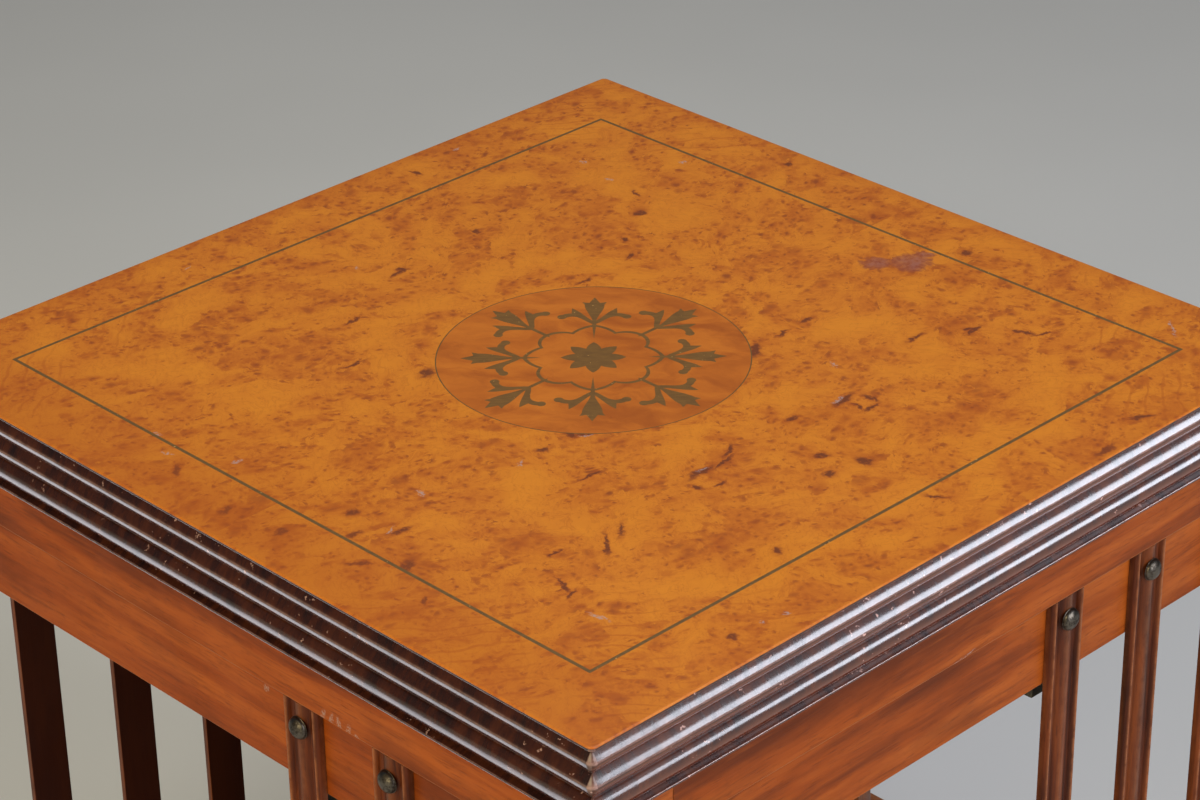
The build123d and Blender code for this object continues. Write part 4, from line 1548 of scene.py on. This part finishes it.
    def section(self) -> Outline:
        """Section: two crisp reeds, a round one, and a bevelled foot with a lip below.

        Returns:
            The outline, out and up.
        """
        reeds_top = LEVELS.veneer_bottom - self.flat_above
        reeds = [self.reed(reeds_top - i * self.reed_pitch, i < self.crisp_reeds)
                 for i in range(self.crisp_reeds + 1)]
        groove, foot = LEVELS.nose - self.reed_depth, LEVELS.nose - self.foot_inset
        bottom = LEVELS.moulding_bottom
        bevel = reeds_top - (self.crisp_reeds + 1) * self.reed_pitch - self.last_reed
        lip, back = bottom - self.lip_drop, LEVELS.band_face + self.lip_gap
        flat = eased([
            (groove, bevel, 0.1 * MM),
            (foot, lip + self.foot_face, 0.35 * MM),
            (foot, lip, 0.3 * MM),
            (back, lip, 0.2 * MM),
            (back, bottom, 0.0),
            (LEVELS.core_face, bottom, 0.2 * MM),
            (LEVELS.core_face, LEVELS.veneer_bottom, 0.0),
            (LEVELS.arris, LEVELS.veneer_bottom, 0.0),
            (LEVELS.arris, reeds_top, 0.25 * MM),
            (groove, reeds_top, 0.1 * MM),
        ])
        points = [reed[0][1:-1] for reed in reeds] + [flat.points]
        wear = [reed[1][1:-1] for reed in reeds] + [flat.wear]
        return Outline(np.concatenate(points), np.concatenate(wear))

    def moulding(self, side: Side) -> Thing:
        """Run the moulding along one side; its mitres are worn round at the noses.

        Args:
            side: the side it belongs to.

        Returns:
            The moulding.
        """
        outline = self.section()
        groove = LEVELS.nose - self.reed_depth
        share = np.clip((outline.points[:, 0] - groove) / self.reed_depth, 0, 1)
        radius = self.mitre_sharp + self.mitre_wear * share**1.5
        u, face, up = mitred(outline, radius, self.mitre_bend, self.straight_reach,
                             self.straight_rows)
        turning = len(self.mitre_bend) - 1
        ends = np.zeros(len(u))
        ends[:turning] = ends[-turning:] = self.mitre_rub
        # painted shade under the noses: all of it on the front and right, a share on the back and
        # left
        nose_shade_share = 1.0 if side in (Side.FRONT, Side.RIGHT) else self.kept_gloss
        below = np.where(outline.wear < 0, nose_shade_share * outline.wear, outline.wear)
        wear = np.clip(below[None] + ends[:, None] * share[None], -1, 1)
        face, up = self.knock(side, u, face, up, outline)
        surface = planked(side, u, face, up, wear, 0.7 * side.value)
        return self.own(f"reeded_edge_{side.label}", [surface], GLAZED,
                        f"top_moulding_{side.label}")

    def knock(self, side: Side, u: Array, face: Array, up: Array,
              outline: Outline) -> tuple[Array, Array]:
        """Flatten the reeds a hair's breadth here and there, as hand planing and knocks do.

        The dent is the sum of three sines along the strip, each with its own phase,
        pressed in along the section's normal and never out of it.

        Args:
            side: the side, which sets the phases.
            u: distance along.
            face: distance out.
            up: height.
            outline: the section.

        Returns:
            The new distance out and height.
        """
        waves = ((11.0, 0.3), (37.0, 1.9), (83.0, 4.1))  # radians to the mitre, and phase
        drift = 900 * up  # each reed has its dents elsewhere
        dent = sum(np.sin(wave * u / LEVELS.nose + phase * (side.value + 1) + drift)
                   for wave, phase in waves) / (2 * len(waves)) + 0.5
        exposed = outline.points[:, 0] > LEVELS.nose - self.reed_depth + 0.2 * MM
        inboard = np.clip((LEVELS.nose - np.abs(u)) / self.dent_fade, 0, 1)
        depth = self.dent * np.clip(dent, 0, 1) * exposed[None] * inboard
        normal = outline.normals()
        return face - depth * normal[None, :, 0], up - depth * normal[None, :, 1]


@dataclass
class Frieze(SubAssembly):
    """Rails and corner blocks under the moulding, with the raised band along their head."""

    title: str = "frieze"
    band_arris: float = 0.9 * MM
    edge: float = 0.6 * MM
    joint: float = 0.25 * MM
    rows: int = 40

    def build(self) -> list[Thing]:
        """Build four rails and the four corner blocks.

        Returns:
            Their pieces.
        """
        rails = [self.rail(side) for side in Side]
        blocks = [self.block(side) for side in Side]
        return rails + [self.own("corner_blocks", blocks, FRIEZE_WOOD, "frieze_blocks")]

    def section(self, inner: float) -> Outline:
        """Section of rail and block: board, raised band, and the tongue behind the moulding.

        Args:
            inner: distance out of its inner face.

        Returns:
            The outline, out and up.
        """
        return eased([
            (inner, LEVELS.frieze_bottom, self.edge),
            (LEVELS.board_face, LEVELS.frieze_bottom, self.edge),
            (LEVELS.board_face, LEVELS.band_bottom, 0.0),
            (LEVELS.band_face, LEVELS.band_bottom, self.band_arris),
            (LEVELS.band_face, LEVELS.moulding_bottom, 0.0),
            (LEVELS.core_face, LEVELS.moulding_bottom, 0.0),
            (LEVELS.core_face, LEVELS.core_bottom, 0.0),
            (inner, LEVELS.core_bottom, 0.0),
        ])

    def rail(self, side: Side) -> Thing:
        """Run one rail from its own corner block to the next side's.

        Args:
            side: the side it belongs to.

        Returns:
            The rail.
        """
        section, u, wear = swept(self.section(LEVELS.rail_inner), -LEVELS.block_face,
                                 LEVELS.rail_inner, self.joint, self.rows)
        surface = planked(side, u, section[..., 0], section[..., 1], wear,
                          0.4 + 1.3 * side.value)
        return self.own(f"frieze_board_{side.label}", [surface], FRIEZE_WOOD,
                        f"frieze_rail_{side.label}")

    def block(self, side: Side) -> Surface:
        """Make one corner block: a column whose plan steps with the band and the tongue.

        Rings of rounded rectangles are stacked upwards, each with its face, height and
        wear; they keep the block's two inner faces and move its two outer ones.

        Args:
            side: the side at whose left end it stands.

        Returns:
            The closed surface.
        """
        low, mid, high, top = (LEVELS.frieze_bottom, LEVELS.band_bottom,
                               LEVELS.moulding_bottom, LEVELS.core_bottom)
        board, band, core = LEVELS.board_face, LEVELS.band_face, LEVELS.core_face
        ease, arris = self.edge, self.band_arris
        rings = np.array([
            (board - ease, low, 0.5), (board - 0.3 * ease, low + 0.3 * ease, 0.5),
            (board, low + ease, 0.5), (board, low + 2 * ease, 0.0), (board, mid, 0.0),
            (band - arris, mid, 0.9), (band - 0.3 * MM, mid + 0.2 * MM, 0.9),
            (band, mid + arris, 0.9), (band, mid + 1.4 * MM, 0.0), (band, high, 0.0),
            (core, high, 0.0), (core, top, 0.0)])
        right, near = -LEVELS.block_face - 0.2 * self.joint, LEVELS.rail_inner
        plan = np.array([
            rounded_rectangle((right + face) / 2, (face - near) / 2, ease, 5)
            + ((right - face) / 2, (near + face) / 2) for face in rings[:, 0]])
        up, wear = (np.broadcast_to(rings[:, i, None], plan.shape[:2]) for i in (1, 2))
        return planked(side, plan[..., 0], plan[..., 1], up, wear, 2.1 + 0.9 * side.value)


@dataclass
class Slats(SubAssembly):
    """Reeded slats on all four sides, each held by a domed stud at head and foot."""

    title: str = "slats"
    per_side: int = 3
    edge_reed: float = 3.3 * MM
    groove: float = 2.0 * MM
    groove_depth: float = 1.8 * MM
    side_height: float = 2.6 * MM
    fullness: float = 0.75  # power of the broad reed's sine: less is fuller
    back_ease: float = 0.2 * MM
    end_ease: float = 0.15 * MM
    edge_steps: int = 13
    broad_steps: int = 19
    rows: int = 60
    stud_rim: float = 0.45 * MM
    shank_radius: float = 1.5 * MM
    shank_length: float = 12.0 * MM

    def build(self) -> list[Thing]:
        """Build the slats and both rows of studs.

        Returns:
            Their pieces.
        """
        slats = [self.slat(side, number)
                 for side in Side for number in range(1, self.per_side + 1)]
        studs = [self.studs(row) for row in ("upper_studs", "lower_studs")]
        return slats + studs

    def centre(self, side: Side, number: int) -> tuple[float, float]:
        """Middle of a slat along its side, and half its width, from its imported box.

        Args:
            side: the side it is on.
            number: its number there, from 1.

        Returns:
            Both, in metres.
        """
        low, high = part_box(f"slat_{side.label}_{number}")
        ends = np.array([low[:], high[:]]) @ side.along
        return float(ends.mean()), float(abs(ends[1] - ends[0]) / 2)

    def section(self, half: float) -> Outline:
        """Section of a slat: an edge reed, a groove, a broad reed, a groove, an edge reed.

        Every reed is a sine arch: its height is that of its two ends plus a share of
        sin(pi t), and the outer ends stand higher than the groove floors.

        Args:
            half: half the slat's width.

        Returns:
            The outline, x across and y out from the board's face.
        """
        thick = LEVELS.band_face - LEVELS.board_face
        floor = thick - self.groove_depth
        inner = half - self.edge_reed
        broad = inner - self.groove
        t = np.linspace(0, 1, self.edge_steps)
        edge_x = -half + self.edge_reed * t
        edge_y = self.side_height + (floor - self.side_height) * t
        edge_y = edge_y + (thick - (self.side_height + floor) / 2) * np.sin(np.pi * t)
        broad_t = np.linspace(0, 1, self.broad_steps)
        broad_x = -broad + 2 * broad * broad_t
        broad_y = floor + self.groove_depth * np.sin(np.pi * broad_t) ** self.fullness
        flat_x = np.array([0.15, 0.85]) * (-broad + inner) - inner
        x = np.concatenate([edge_x, flat_x, broad_x, -flat_x[::-1], -edge_x[::-1]])
        y = np.concatenate([edge_y, [floor] * 2, broad_y, [floor] * 2, edge_y[::-1]])
        edge_wear, broad_wear = np.sin(np.pi * t) ** 6, 0.35 * np.sin(np.pi * broad_t) ** 4
        wear = np.concatenate([edge_wear, [0, 0], broad_wear, [0, 0], edge_wear[::-1]])
        ease = self.back_ease
        back = np.array([[half, ease], [half - ease, 0.0], [ease - half, 0.0], [-half, ease]])
        points = np.concatenate([np.stack([x, np.minimum(y, thick)], axis=1), back])
        # the back face gets -1, which paints it in dark shade
        return Outline(points, np.concatenate([wear * 0.8, [0.3, -1, -1, 0.3]]))

    def slat(self, side: Side, number: int) -> Thing:
        """Run one slat from the bottom band up to the frieze band.

        Args:
            side: the side it is on.
            number: its number there, from 1.

        Returns:
            The slat.
        """
        middle, half = self.centre(side, number)
        section, up, wear = swept(self.section(half), LEVELS.bottom_band_top,
                                  LEVELS.band_bottom, self.end_ease, self.rows)
        u, out = middle + section[..., 0], LEVELS.board_face + section[..., 1]
        shift = 0.37 * number + 1.7 * side.value
        grain = np.stack([up + shift, section[..., 0], section[..., 1]], axis=-1) + shift
        surface = Surface(side.place(u, out, up), grain, wear)
        return self.own(f"reeded_slat_{side.label}_{number}", [surface], SLAT_WOOD,
                        f"slat_{side.label}_{number}")

    def stud_profile(self, radius: float, dome: float) -> Outline:
        """Profile of a stud: half an ellipse over a small rim, then a straight shank.

        Args:
            radius: radius of the head.
            dome: height of the head above the slat.

        Returns:
            Radius and height of each point, from the crown to the tip.
        """
        t = np.linspace(0, np.pi / 2, 12)
        rim = self.stud_rim
        crown = np.stack([(radius - 0.3 * rim) * np.sin(t), rim + (dome - rim) * np.cos(t)], axis=1)
        foot = np.array([[radius, 0.75 * rim], [radius, 0.3 * rim], [radius - 0.2 * rim, 0.0],
                         [self.shank_radius, 0.0], [self.shank_radius, -self.shank_length],
                         [0.0, -self.shank_length]])
        points = np.concatenate([crown, foot])
        return Outline(points, np.clip(points[:, 1] / dome, 0, 1))

    def studs(self, row: str) -> Thing:
        """Set one row of studs, one to a slat.

        Args:
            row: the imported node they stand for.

        Returns:
            The row as one piece.
        """
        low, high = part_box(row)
        level, radius = (low.z + high.z) / 2, (high.z - low.z) / 2
        dome = high.x - LEVELS.band_face
        profile = self.stud_profile(radius, dome)
        heads = []
        for side in Side:
            for number in range(1, self.per_side + 1):
                seat = side.place(self.centre(side, number)[0], LEVELS.band_face, level)
                heads.append(turned(profile, tuple(seat), side.outward, segments=32))
        return self.own(f"domed_{row}", heads, PEWTER, row)


@dataclass
class Bays(SubAssembly):
    """The four book bays: bearers under the top, dividers and the shelf."""

    title: str = "bays"
    ease: float = 0.8 * MM
    toe_ease: float = 0.2 * MM
    shelf_ease: float = 0.3 * MM

    def shift(self, side: Side) -> float:
        """How far the figure of a side's boards is moved on."""
        return 0.2 + 0.83 * side.value

    def bearer(self, side: Side) -> Thing:
        """Cut one bearer: a board on edge, with a toe that reaches under the rail.

        Args:
            side: the side whose rail it carries.

        Returns:
            The bearer.
        """
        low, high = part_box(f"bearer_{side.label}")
        ends = np.array([low[:], high[:]])
        reach, across = np.sort(ends @ side.outward), np.sort(ends @ side.along)
        outline = eased([
            (reach[0], low.z, self.ease),
            (reach[1], low.z, self.ease),
            (reach[1], LEVELS.frieze_bottom, self.toe_ease),
            (LEVELS.rail_inner, LEVELS.frieze_bottom, 0.0),
            (LEVELS.rail_inner, high.z, 0.0),
            (reach[0], high.z, 0.0),
        ])
        section, u, wear = swept(outline, across[0], across[1], self.ease)
        out, up = section[..., 0], section[..., 1]
        grain = np.stack([out, up, u], axis=-1) + self.shift(side)
        return self.own(f"bearer_board_{side.label}",
                        [Surface(side.place(u, out, up), grain, wear)], BEARER_WOOD,
                        f"bearer_{side.label}")

    def divider(self, side: Side) -> Thing:
        """Cut one divider, its grain upright.

        Args:
            side: the side whose bay it closes at the right.

        Returns:
            The divider.
        """
        node = f"divider_{side.label}"
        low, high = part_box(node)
        surface = moulded_board(low, high, self.ease, round_edge(low.z, high.z, self.ease),
                                along=2, shift=self.shift(side))
        return self.own(f"divider_board_{side.label}", [surface], DIVIDER_WOOD, node)

    def build(self) -> list[Thing]:
        """Build the boards that back and floor the bays.

        Returns:
            Their pieces.
        """
        boards = [make(side) for side in Side for make in (self.bearer, self.divider)]
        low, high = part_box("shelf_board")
        shelf = moulded_board(low, high, self.ease, round_edge(low.z, high.z, self.shelf_ease))
        boards.append(self.own("shelf", [shelf], SHELF_WOOD, "shelf_board"))
        return boards + self.keep(CORE_WOOD, "head_block", "turntable_pad")


@dataclass
class BottomRails(SubAssembly):
    """The mitred rails round the shelf, with the band that the slats stand on."""

    title: str = "bottom rails"
    edge: float = 0.9 * MM
    inner_edge: float = 0.2 * MM
    corner: float = 0.8 * MM
    bend: tuple[float, ...] = (45, 30, 15, 0)
    straight_reach: float = 0.99
    straight_rows: int = 40

    def build(self) -> list[Thing]:
        """Build the four rails."""
        return [self.rail(side) for side in Side]

    def rail(self, side: Side) -> Thing:
        """Run one rail between its mitres, the corner hardly rounded.

        Args:
            side: the side it belongs to.

        Returns:
            The rail.
        """
        outline = eased([
            (LEVELS.rail_inner, LEVELS.rail_bottom, 0.0),
            (LEVELS.band_face, LEVELS.rail_bottom, self.edge),
            (LEVELS.band_face, LEVELS.bottom_band_top, self.edge),
            (LEVELS.board_face, LEVELS.bottom_band_top, 0.0),
            (LEVELS.board_face, LEVELS.shelf_top, self.edge),
            (LEVELS.rail_inner, LEVELS.shelf_top, self.inner_edge),
        ])
        u, out, up = mitred(outline, self.corner, self.bend, self.straight_reach,
                            self.straight_rows)
        wear = np.broadcast_to(outline.wear, u.shape)
        surface = planked(side, u, out, up, wear, 3.0 + 1.9 * side.value)
        return self.own(f"bottom_rail_board_{side.label}", [surface], RAIL_WOOD,
                        f"bottom_rail_{side.label}")


@dataclass
class Turntable(SubAssembly):
    """Spindle, bushes, races and balls: what the case turns on."""

    title: str = "turntable"
    body: str = "base"
    tip_radius: float = 2.0 * MM

    def build(self) -> list[Thing]:
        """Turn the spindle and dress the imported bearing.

        Returns:
            Their pieces.
        """
        kept = self.keep(BRASS, "head_bush", "shelf_bush", "ball_cage")
        kept += self.keep(STEEL, "lower_race", "upper_race", "bearing_balls", "spindle_flange")
        kept += self.keep(SCREW_METAL, "lower_race_screws", "upper_race_screws", "flange_screws")
        return kept + [self.spindle()]

    def spindle(self) -> Thing:
        """Turn the spindle: a straight rod with a quarter-round tip.

        Returns:
            The spindle.
        """
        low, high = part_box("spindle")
        radius = high.x
        inset, drop = quarter(self.tip_radius, FINE_STEPS)
        tip = np.stack([radius - inset, high.z - drop], axis=1)
        points = np.concatenate([[[0.0, high.z]], tip, [[radius, low.z], [0.0, low.z]]])
        profile = Outline(points, np.zeros(len(points)))
        surface = turned(profile, (0.0, 0.0, 0.0))
        return self.own("turned_spindle", [surface], STEEL, "spindle")


@dataclass
class Base(SubAssembly):
    """The stepped base board on its bun feet and felts."""

    title: str = "base"
    body: str = "base"
    corner: float = 8.0 * MM
    lower_height: float = 12.0 * MM
    step: float = 6.0 * MM
    lower_edge: float = 2.0 * MM
    upper_edge: float = 4.5 * MM
    neck_radius: float = 15.0 * MM
    neck_ease: float = 0.3 * MM
    sole_radius: float = 17.0 * MM
    sole_margin: float = 1.5 * MM  # the sole reaches this far past its felt
    collar: float = 2.5 * MM
    bun_steps: int = 22
    rubbed_from: float = 0.93  # share of the belly's radius

    def build(self) -> list[Thing]:
        """Build the board, its feet and their felts."""
        return [self.board(), self.feet(), self.felts()]

    def board(self) -> Thing:
        """Mould the base board: a rounded lower member, a step in, a rounded upper member.

        Returns:
            The board.
        """
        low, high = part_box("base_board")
        shelf = low.z + self.lower_height
        lower = round_edge(low.z, shelf, self.lower_edge, FINE_STEPS, support=1.6)
        inset, drop = quarter(self.upper_edge, FINE_STEPS)
        upper = list(zip((self.step + inset)[::-1], (high.z - drop)[::-1]))
        edge = lower + [(self.step, shelf)] + upper
        surface = moulded_board(low, high, self.corner, edge, shift=0.5)
        return self.own("stepped_base", [surface], BASE_WOOD, "base_board")

    def centres(self) -> list[tuple[float, float]]:
        """Middles of the four feet.

        Returns:
            X and Y of each.
        """
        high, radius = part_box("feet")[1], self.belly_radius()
        x, y = high.x - radius, high.y - radius
        return [(x, y), (-x, y), (-x, -y), (x, -y)]

    def belly_radius(self) -> float:
        """Largest radius of a foot: what the feet stand out past the middles of the felts.

        Returns:
            The radius.
        """
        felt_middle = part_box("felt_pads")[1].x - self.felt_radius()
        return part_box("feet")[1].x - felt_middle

    def felt_radius(self) -> float:
        """Radius of a felt, just inside the sole."""
        return self.sole_radius - self.sole_margin

    def feet(self) -> Thing:
        """Turn the bun feet: a collar, then a circular arc from neck through belly to sole.

        Returns:
            The feet as one piece.
        """
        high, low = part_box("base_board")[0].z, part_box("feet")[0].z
        neck, belly, sole = self.neck_radius, self.belly_radius(), self.sole_radius
        top = high - self.collar
        middle = (high + low - self.collar) / 2
        # the centre of the circle through three points solves 2 (pi - p0) c = pi^2 - p0^2
        p = np.array([[neck, top], [belly, middle], [sole, low]])
        chords = 2 * (p[1:] - p[0])
        squares = np.sum(p[1:] ** 2, axis=1) - np.sum(p[0] ** 2)
        centre = np.linalg.solve(chords, squares)
        radius = np.linalg.norm(p[0] - centre)
        start, end = np.arctan2(*(p[0] - centre)[::-1]), np.arctan2(*(p[2] - centre)[::-1])
        a = np.linspace(start, end, self.bun_steps)
        bun = centre + radius * np.stack([np.cos(a), np.sin(a)], axis=1)
        ease = self.neck_ease
        head = np.array([[0.0, high], [neck - ease, high], [neck, high - ease],
                         [neck, top + ease]])
        points = np.concatenate([head, bun, [[0.0, low]]])
        share = (points[:, 0] / belly - self.rubbed_from) / (1 - self.rubbed_from)
        wear = 0.5 * np.clip(share, 0, 1)
        profile = Outline(points, wear)
        surfaces = [turned(profile, (x, y, 0.0)) for x, y in self.centres()]
        return self.own("bun_feet", surfaces, BASE_WOOD, "feet")

    def felts(self) -> Thing:
        """Cut the round felts, their edges pressed soft.

        Returns:
            The felts as one piece.
        """
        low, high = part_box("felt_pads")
        radius, thick = self.felt_radius(), high.z - low.z
        a = np.linspace(-np.pi / 2, np.pi / 2, 9)
        edge = np.stack([radius - thick / 2 + thick / 2 * np.cos(a),
                         low.z + thick / 2 + thick / 2 * np.sin(a)], axis=1)
        points = np.concatenate([[[0.0, low.z]], edge, [[0.0, high.z]]])
        profile = Outline(points, np.zeros(len(points)))
        surfaces = [turned(profile, (x, y, 0.0)) for x, y in self.centres()]
        return self.own("felt_discs", surfaces, FELT, "felt_pads")


# ---------------------------------------------------------------- the studio


@dataclass(frozen=True)
class Softbox:
    """A rectangular light, placed by its bearing and height as seen from where it aims.

    Attributes:
        name: what it is called.
        bearing, height: degrees from +X towards +Y, and above the horizon.
        distance, width, tall: metres.
        radiance: brightness of its face.
        tint: its colour.
        aim: what it faces.
        only: beginning of the names of the pieces it lights; it lights all when empty.
    """

    name: str
    bearing: float
    height: float
    distance: float
    width: float
    tall: float
    radiance: float
    tint: Triple = (1.0, 1.0, 1.0)
    aim: Triple = (0.0, 0.0, 0.35)
    only: str = ""

    def light(self) -> None:
        """Hang the light, facing its aim and unseen itself.

        Its power is pi times radiance times area.
        """
        bearing, height = math.radians(self.bearing), math.radians(self.height)
        out = Vector((math.cos(bearing) * math.cos(height), math.sin(bearing) * math.cos(height),
                      math.sin(height)))
        data = bpy.data.lights.new(self.name, "AREA")
        data.shape = "RECTANGLE"
        data.size, data.size_y = self.width, self.tall
        data.energy = math.pi * self.radiance * self.width * self.tall
        data.color = self.tint
        lamp = bpy.data.objects.new(self.name, data)
        lamp.matrix_world = (Matrix.Translation(Vector(self.aim) + self.distance * out)
                             @ out.to_track_quat("Z", "Y").to_matrix().to_4x4())
        lamp.visible_camera = False
        bpy.context.scene.collection.objects.link(lamp)
        if self.only:
            lit = bpy.data.collections.new(f"lit_by_{self.name}")
            for piece in bpy.context.scene.objects:
                if piece.name.startswith(self.only):
                    lit.objects.link(piece)
            lamp.light_linking.receiver_collection = lit


@dataclass
class Studio:
    """Pale floor, softboxes and the camera."""

    camera_place: Triple = (-0.85265, -0.88065, 1.03962)
    camera_bearing: float = 44.081  # degrees from +Y towards +X
    camera_dip: float = 28.336
    camera_roll: float = -0.921
    lens: float = 103.407
    sensor: float = 36.0
    clip: tuple[float, float] = (0.05, 50.0)
    floor_half: float = 6.0
    sky: Triple = (0.62, 0.68, 0.80)
    sky_strength: float = 0.14

    def build(self) -> None:
        """Set the stage."""
        self.floor()
        self.camera()
        self.lights()

    def floor(self) -> None:
        """Lay the floor: one flat square grid at height nought."""
        line = np.linspace(-self.floor_half, self.floor_half, 5)
        x, y = np.meshgrid(line, line)
        points = np.stack([x, y, np.zeros_like(x)], axis=-1)
        surface = Surface(points, points, np.zeros(x.shape), loop=False, ends=False)
        floor = make_piece("floor", [surface])
        Paper("floor_paper").dress(floor)

    def camera(self) -> None:
        """Place the camera: forward from bearing and dip, then the small roll."""
        bearing, dip = math.radians(self.camera_bearing), math.radians(self.camera_dip)
        roll = math.radians(self.camera_roll)
        forward = Vector((math.sin(bearing) * math.cos(dip), math.cos(bearing) * math.cos(dip),
                          -math.sin(dip)))
        level = Vector((math.cos(bearing), -math.sin(bearing), 0.0))
        rise = level.cross(forward)
        right = math.cos(roll) * level + math.sin(roll) * rise
        rows = Matrix((right, right.cross(forward), -forward)).transposed().to_4x4()
        data = bpy.data.cameras.new("camera")
        data.lens, data.sensor_width = self.lens, self.sensor
        data.clip_start, data.clip_end = self.clip
        camera = bpy.data.objects.new("camera", data)
        camera.matrix_world = Matrix.Translation(self.camera_place) @ rows
        bpy.context.scene.collection.objects.link(camera)
        bpy.context.scene.camera = camera

    def lights(self) -> None:
        """Light the top from above, lay long highlights on the reeds, and warm the left."""
        for softbox in (
            Softbox("overhead", bearing=10, height=82, distance=1.4, width=1.0, tall=1.0,
                    radiance=2.05, tint=(1.0, 0.985, 0.96), aim=(0.12, 0.06, 0.35)),
            Softbox("front_strip", bearing=-45, height=5.5, distance=2.6, width=1.5, tall=1.1,
                    radiance=18.5, tint=(0.82, 0.88, 1.0), only="reeded_edge"),
            Softbox("front_fill", bearing=-84, height=24, distance=2.8, width=2.2, tall=2.0,
                    radiance=4.5, tint=(0.92, 0.95, 1.0)),
            Softbox("front_bank", bearing=-50, height=34, distance=2.6, width=1.3, tall=0.9,
                    radiance=0.9, tint=(0.86, 0.90, 1.0)),
            Softbox("floor_panel", bearing=0, height=-89.9, distance=0.02, width=0.66, tall=0.26,
                    radiance=2.8, tint=(0.88, 0.90, 1.0), aim=(-0.37, 0.38, 0.03),
                    only="reeded_edge"),
            Softbox("left_key", bearing=190, height=25, distance=2.4, width=2.0, tall=1.8,
                    radiance=3.8, tint=(1.0, 0.87, 0.52)),
        ):
            softbox.light()
        world = bpy.data.worlds.new("studio")
        world.use_nodes = True
        background = world.node_tree.nodes["Background"]
        background.inputs["Color"].default_value = (*self.sky, 1.0)
        background.inputs["Strength"].default_value = self.sky_strength
        bpy.context.scene.world = world
        bpy.context.scene.view_settings.view_transform = "Standard"


def main() -> None:
    """Build the bookcase in the order a maker would, then the studio around it."""
    logging.basicConfig(level=logging.INFO, format="%(name)s: %(message)s")
    for part in (Base(), Turntable(), BottomRails(), Bays(), Slats(), Frieze(), Tabletop()):
        for piece in part.build():
            log.info("%s: %s, %d faces", part.title, piece.name, len(piece.data.polygons))
    Studio().build()


if __name__ == "__main__":
    main()
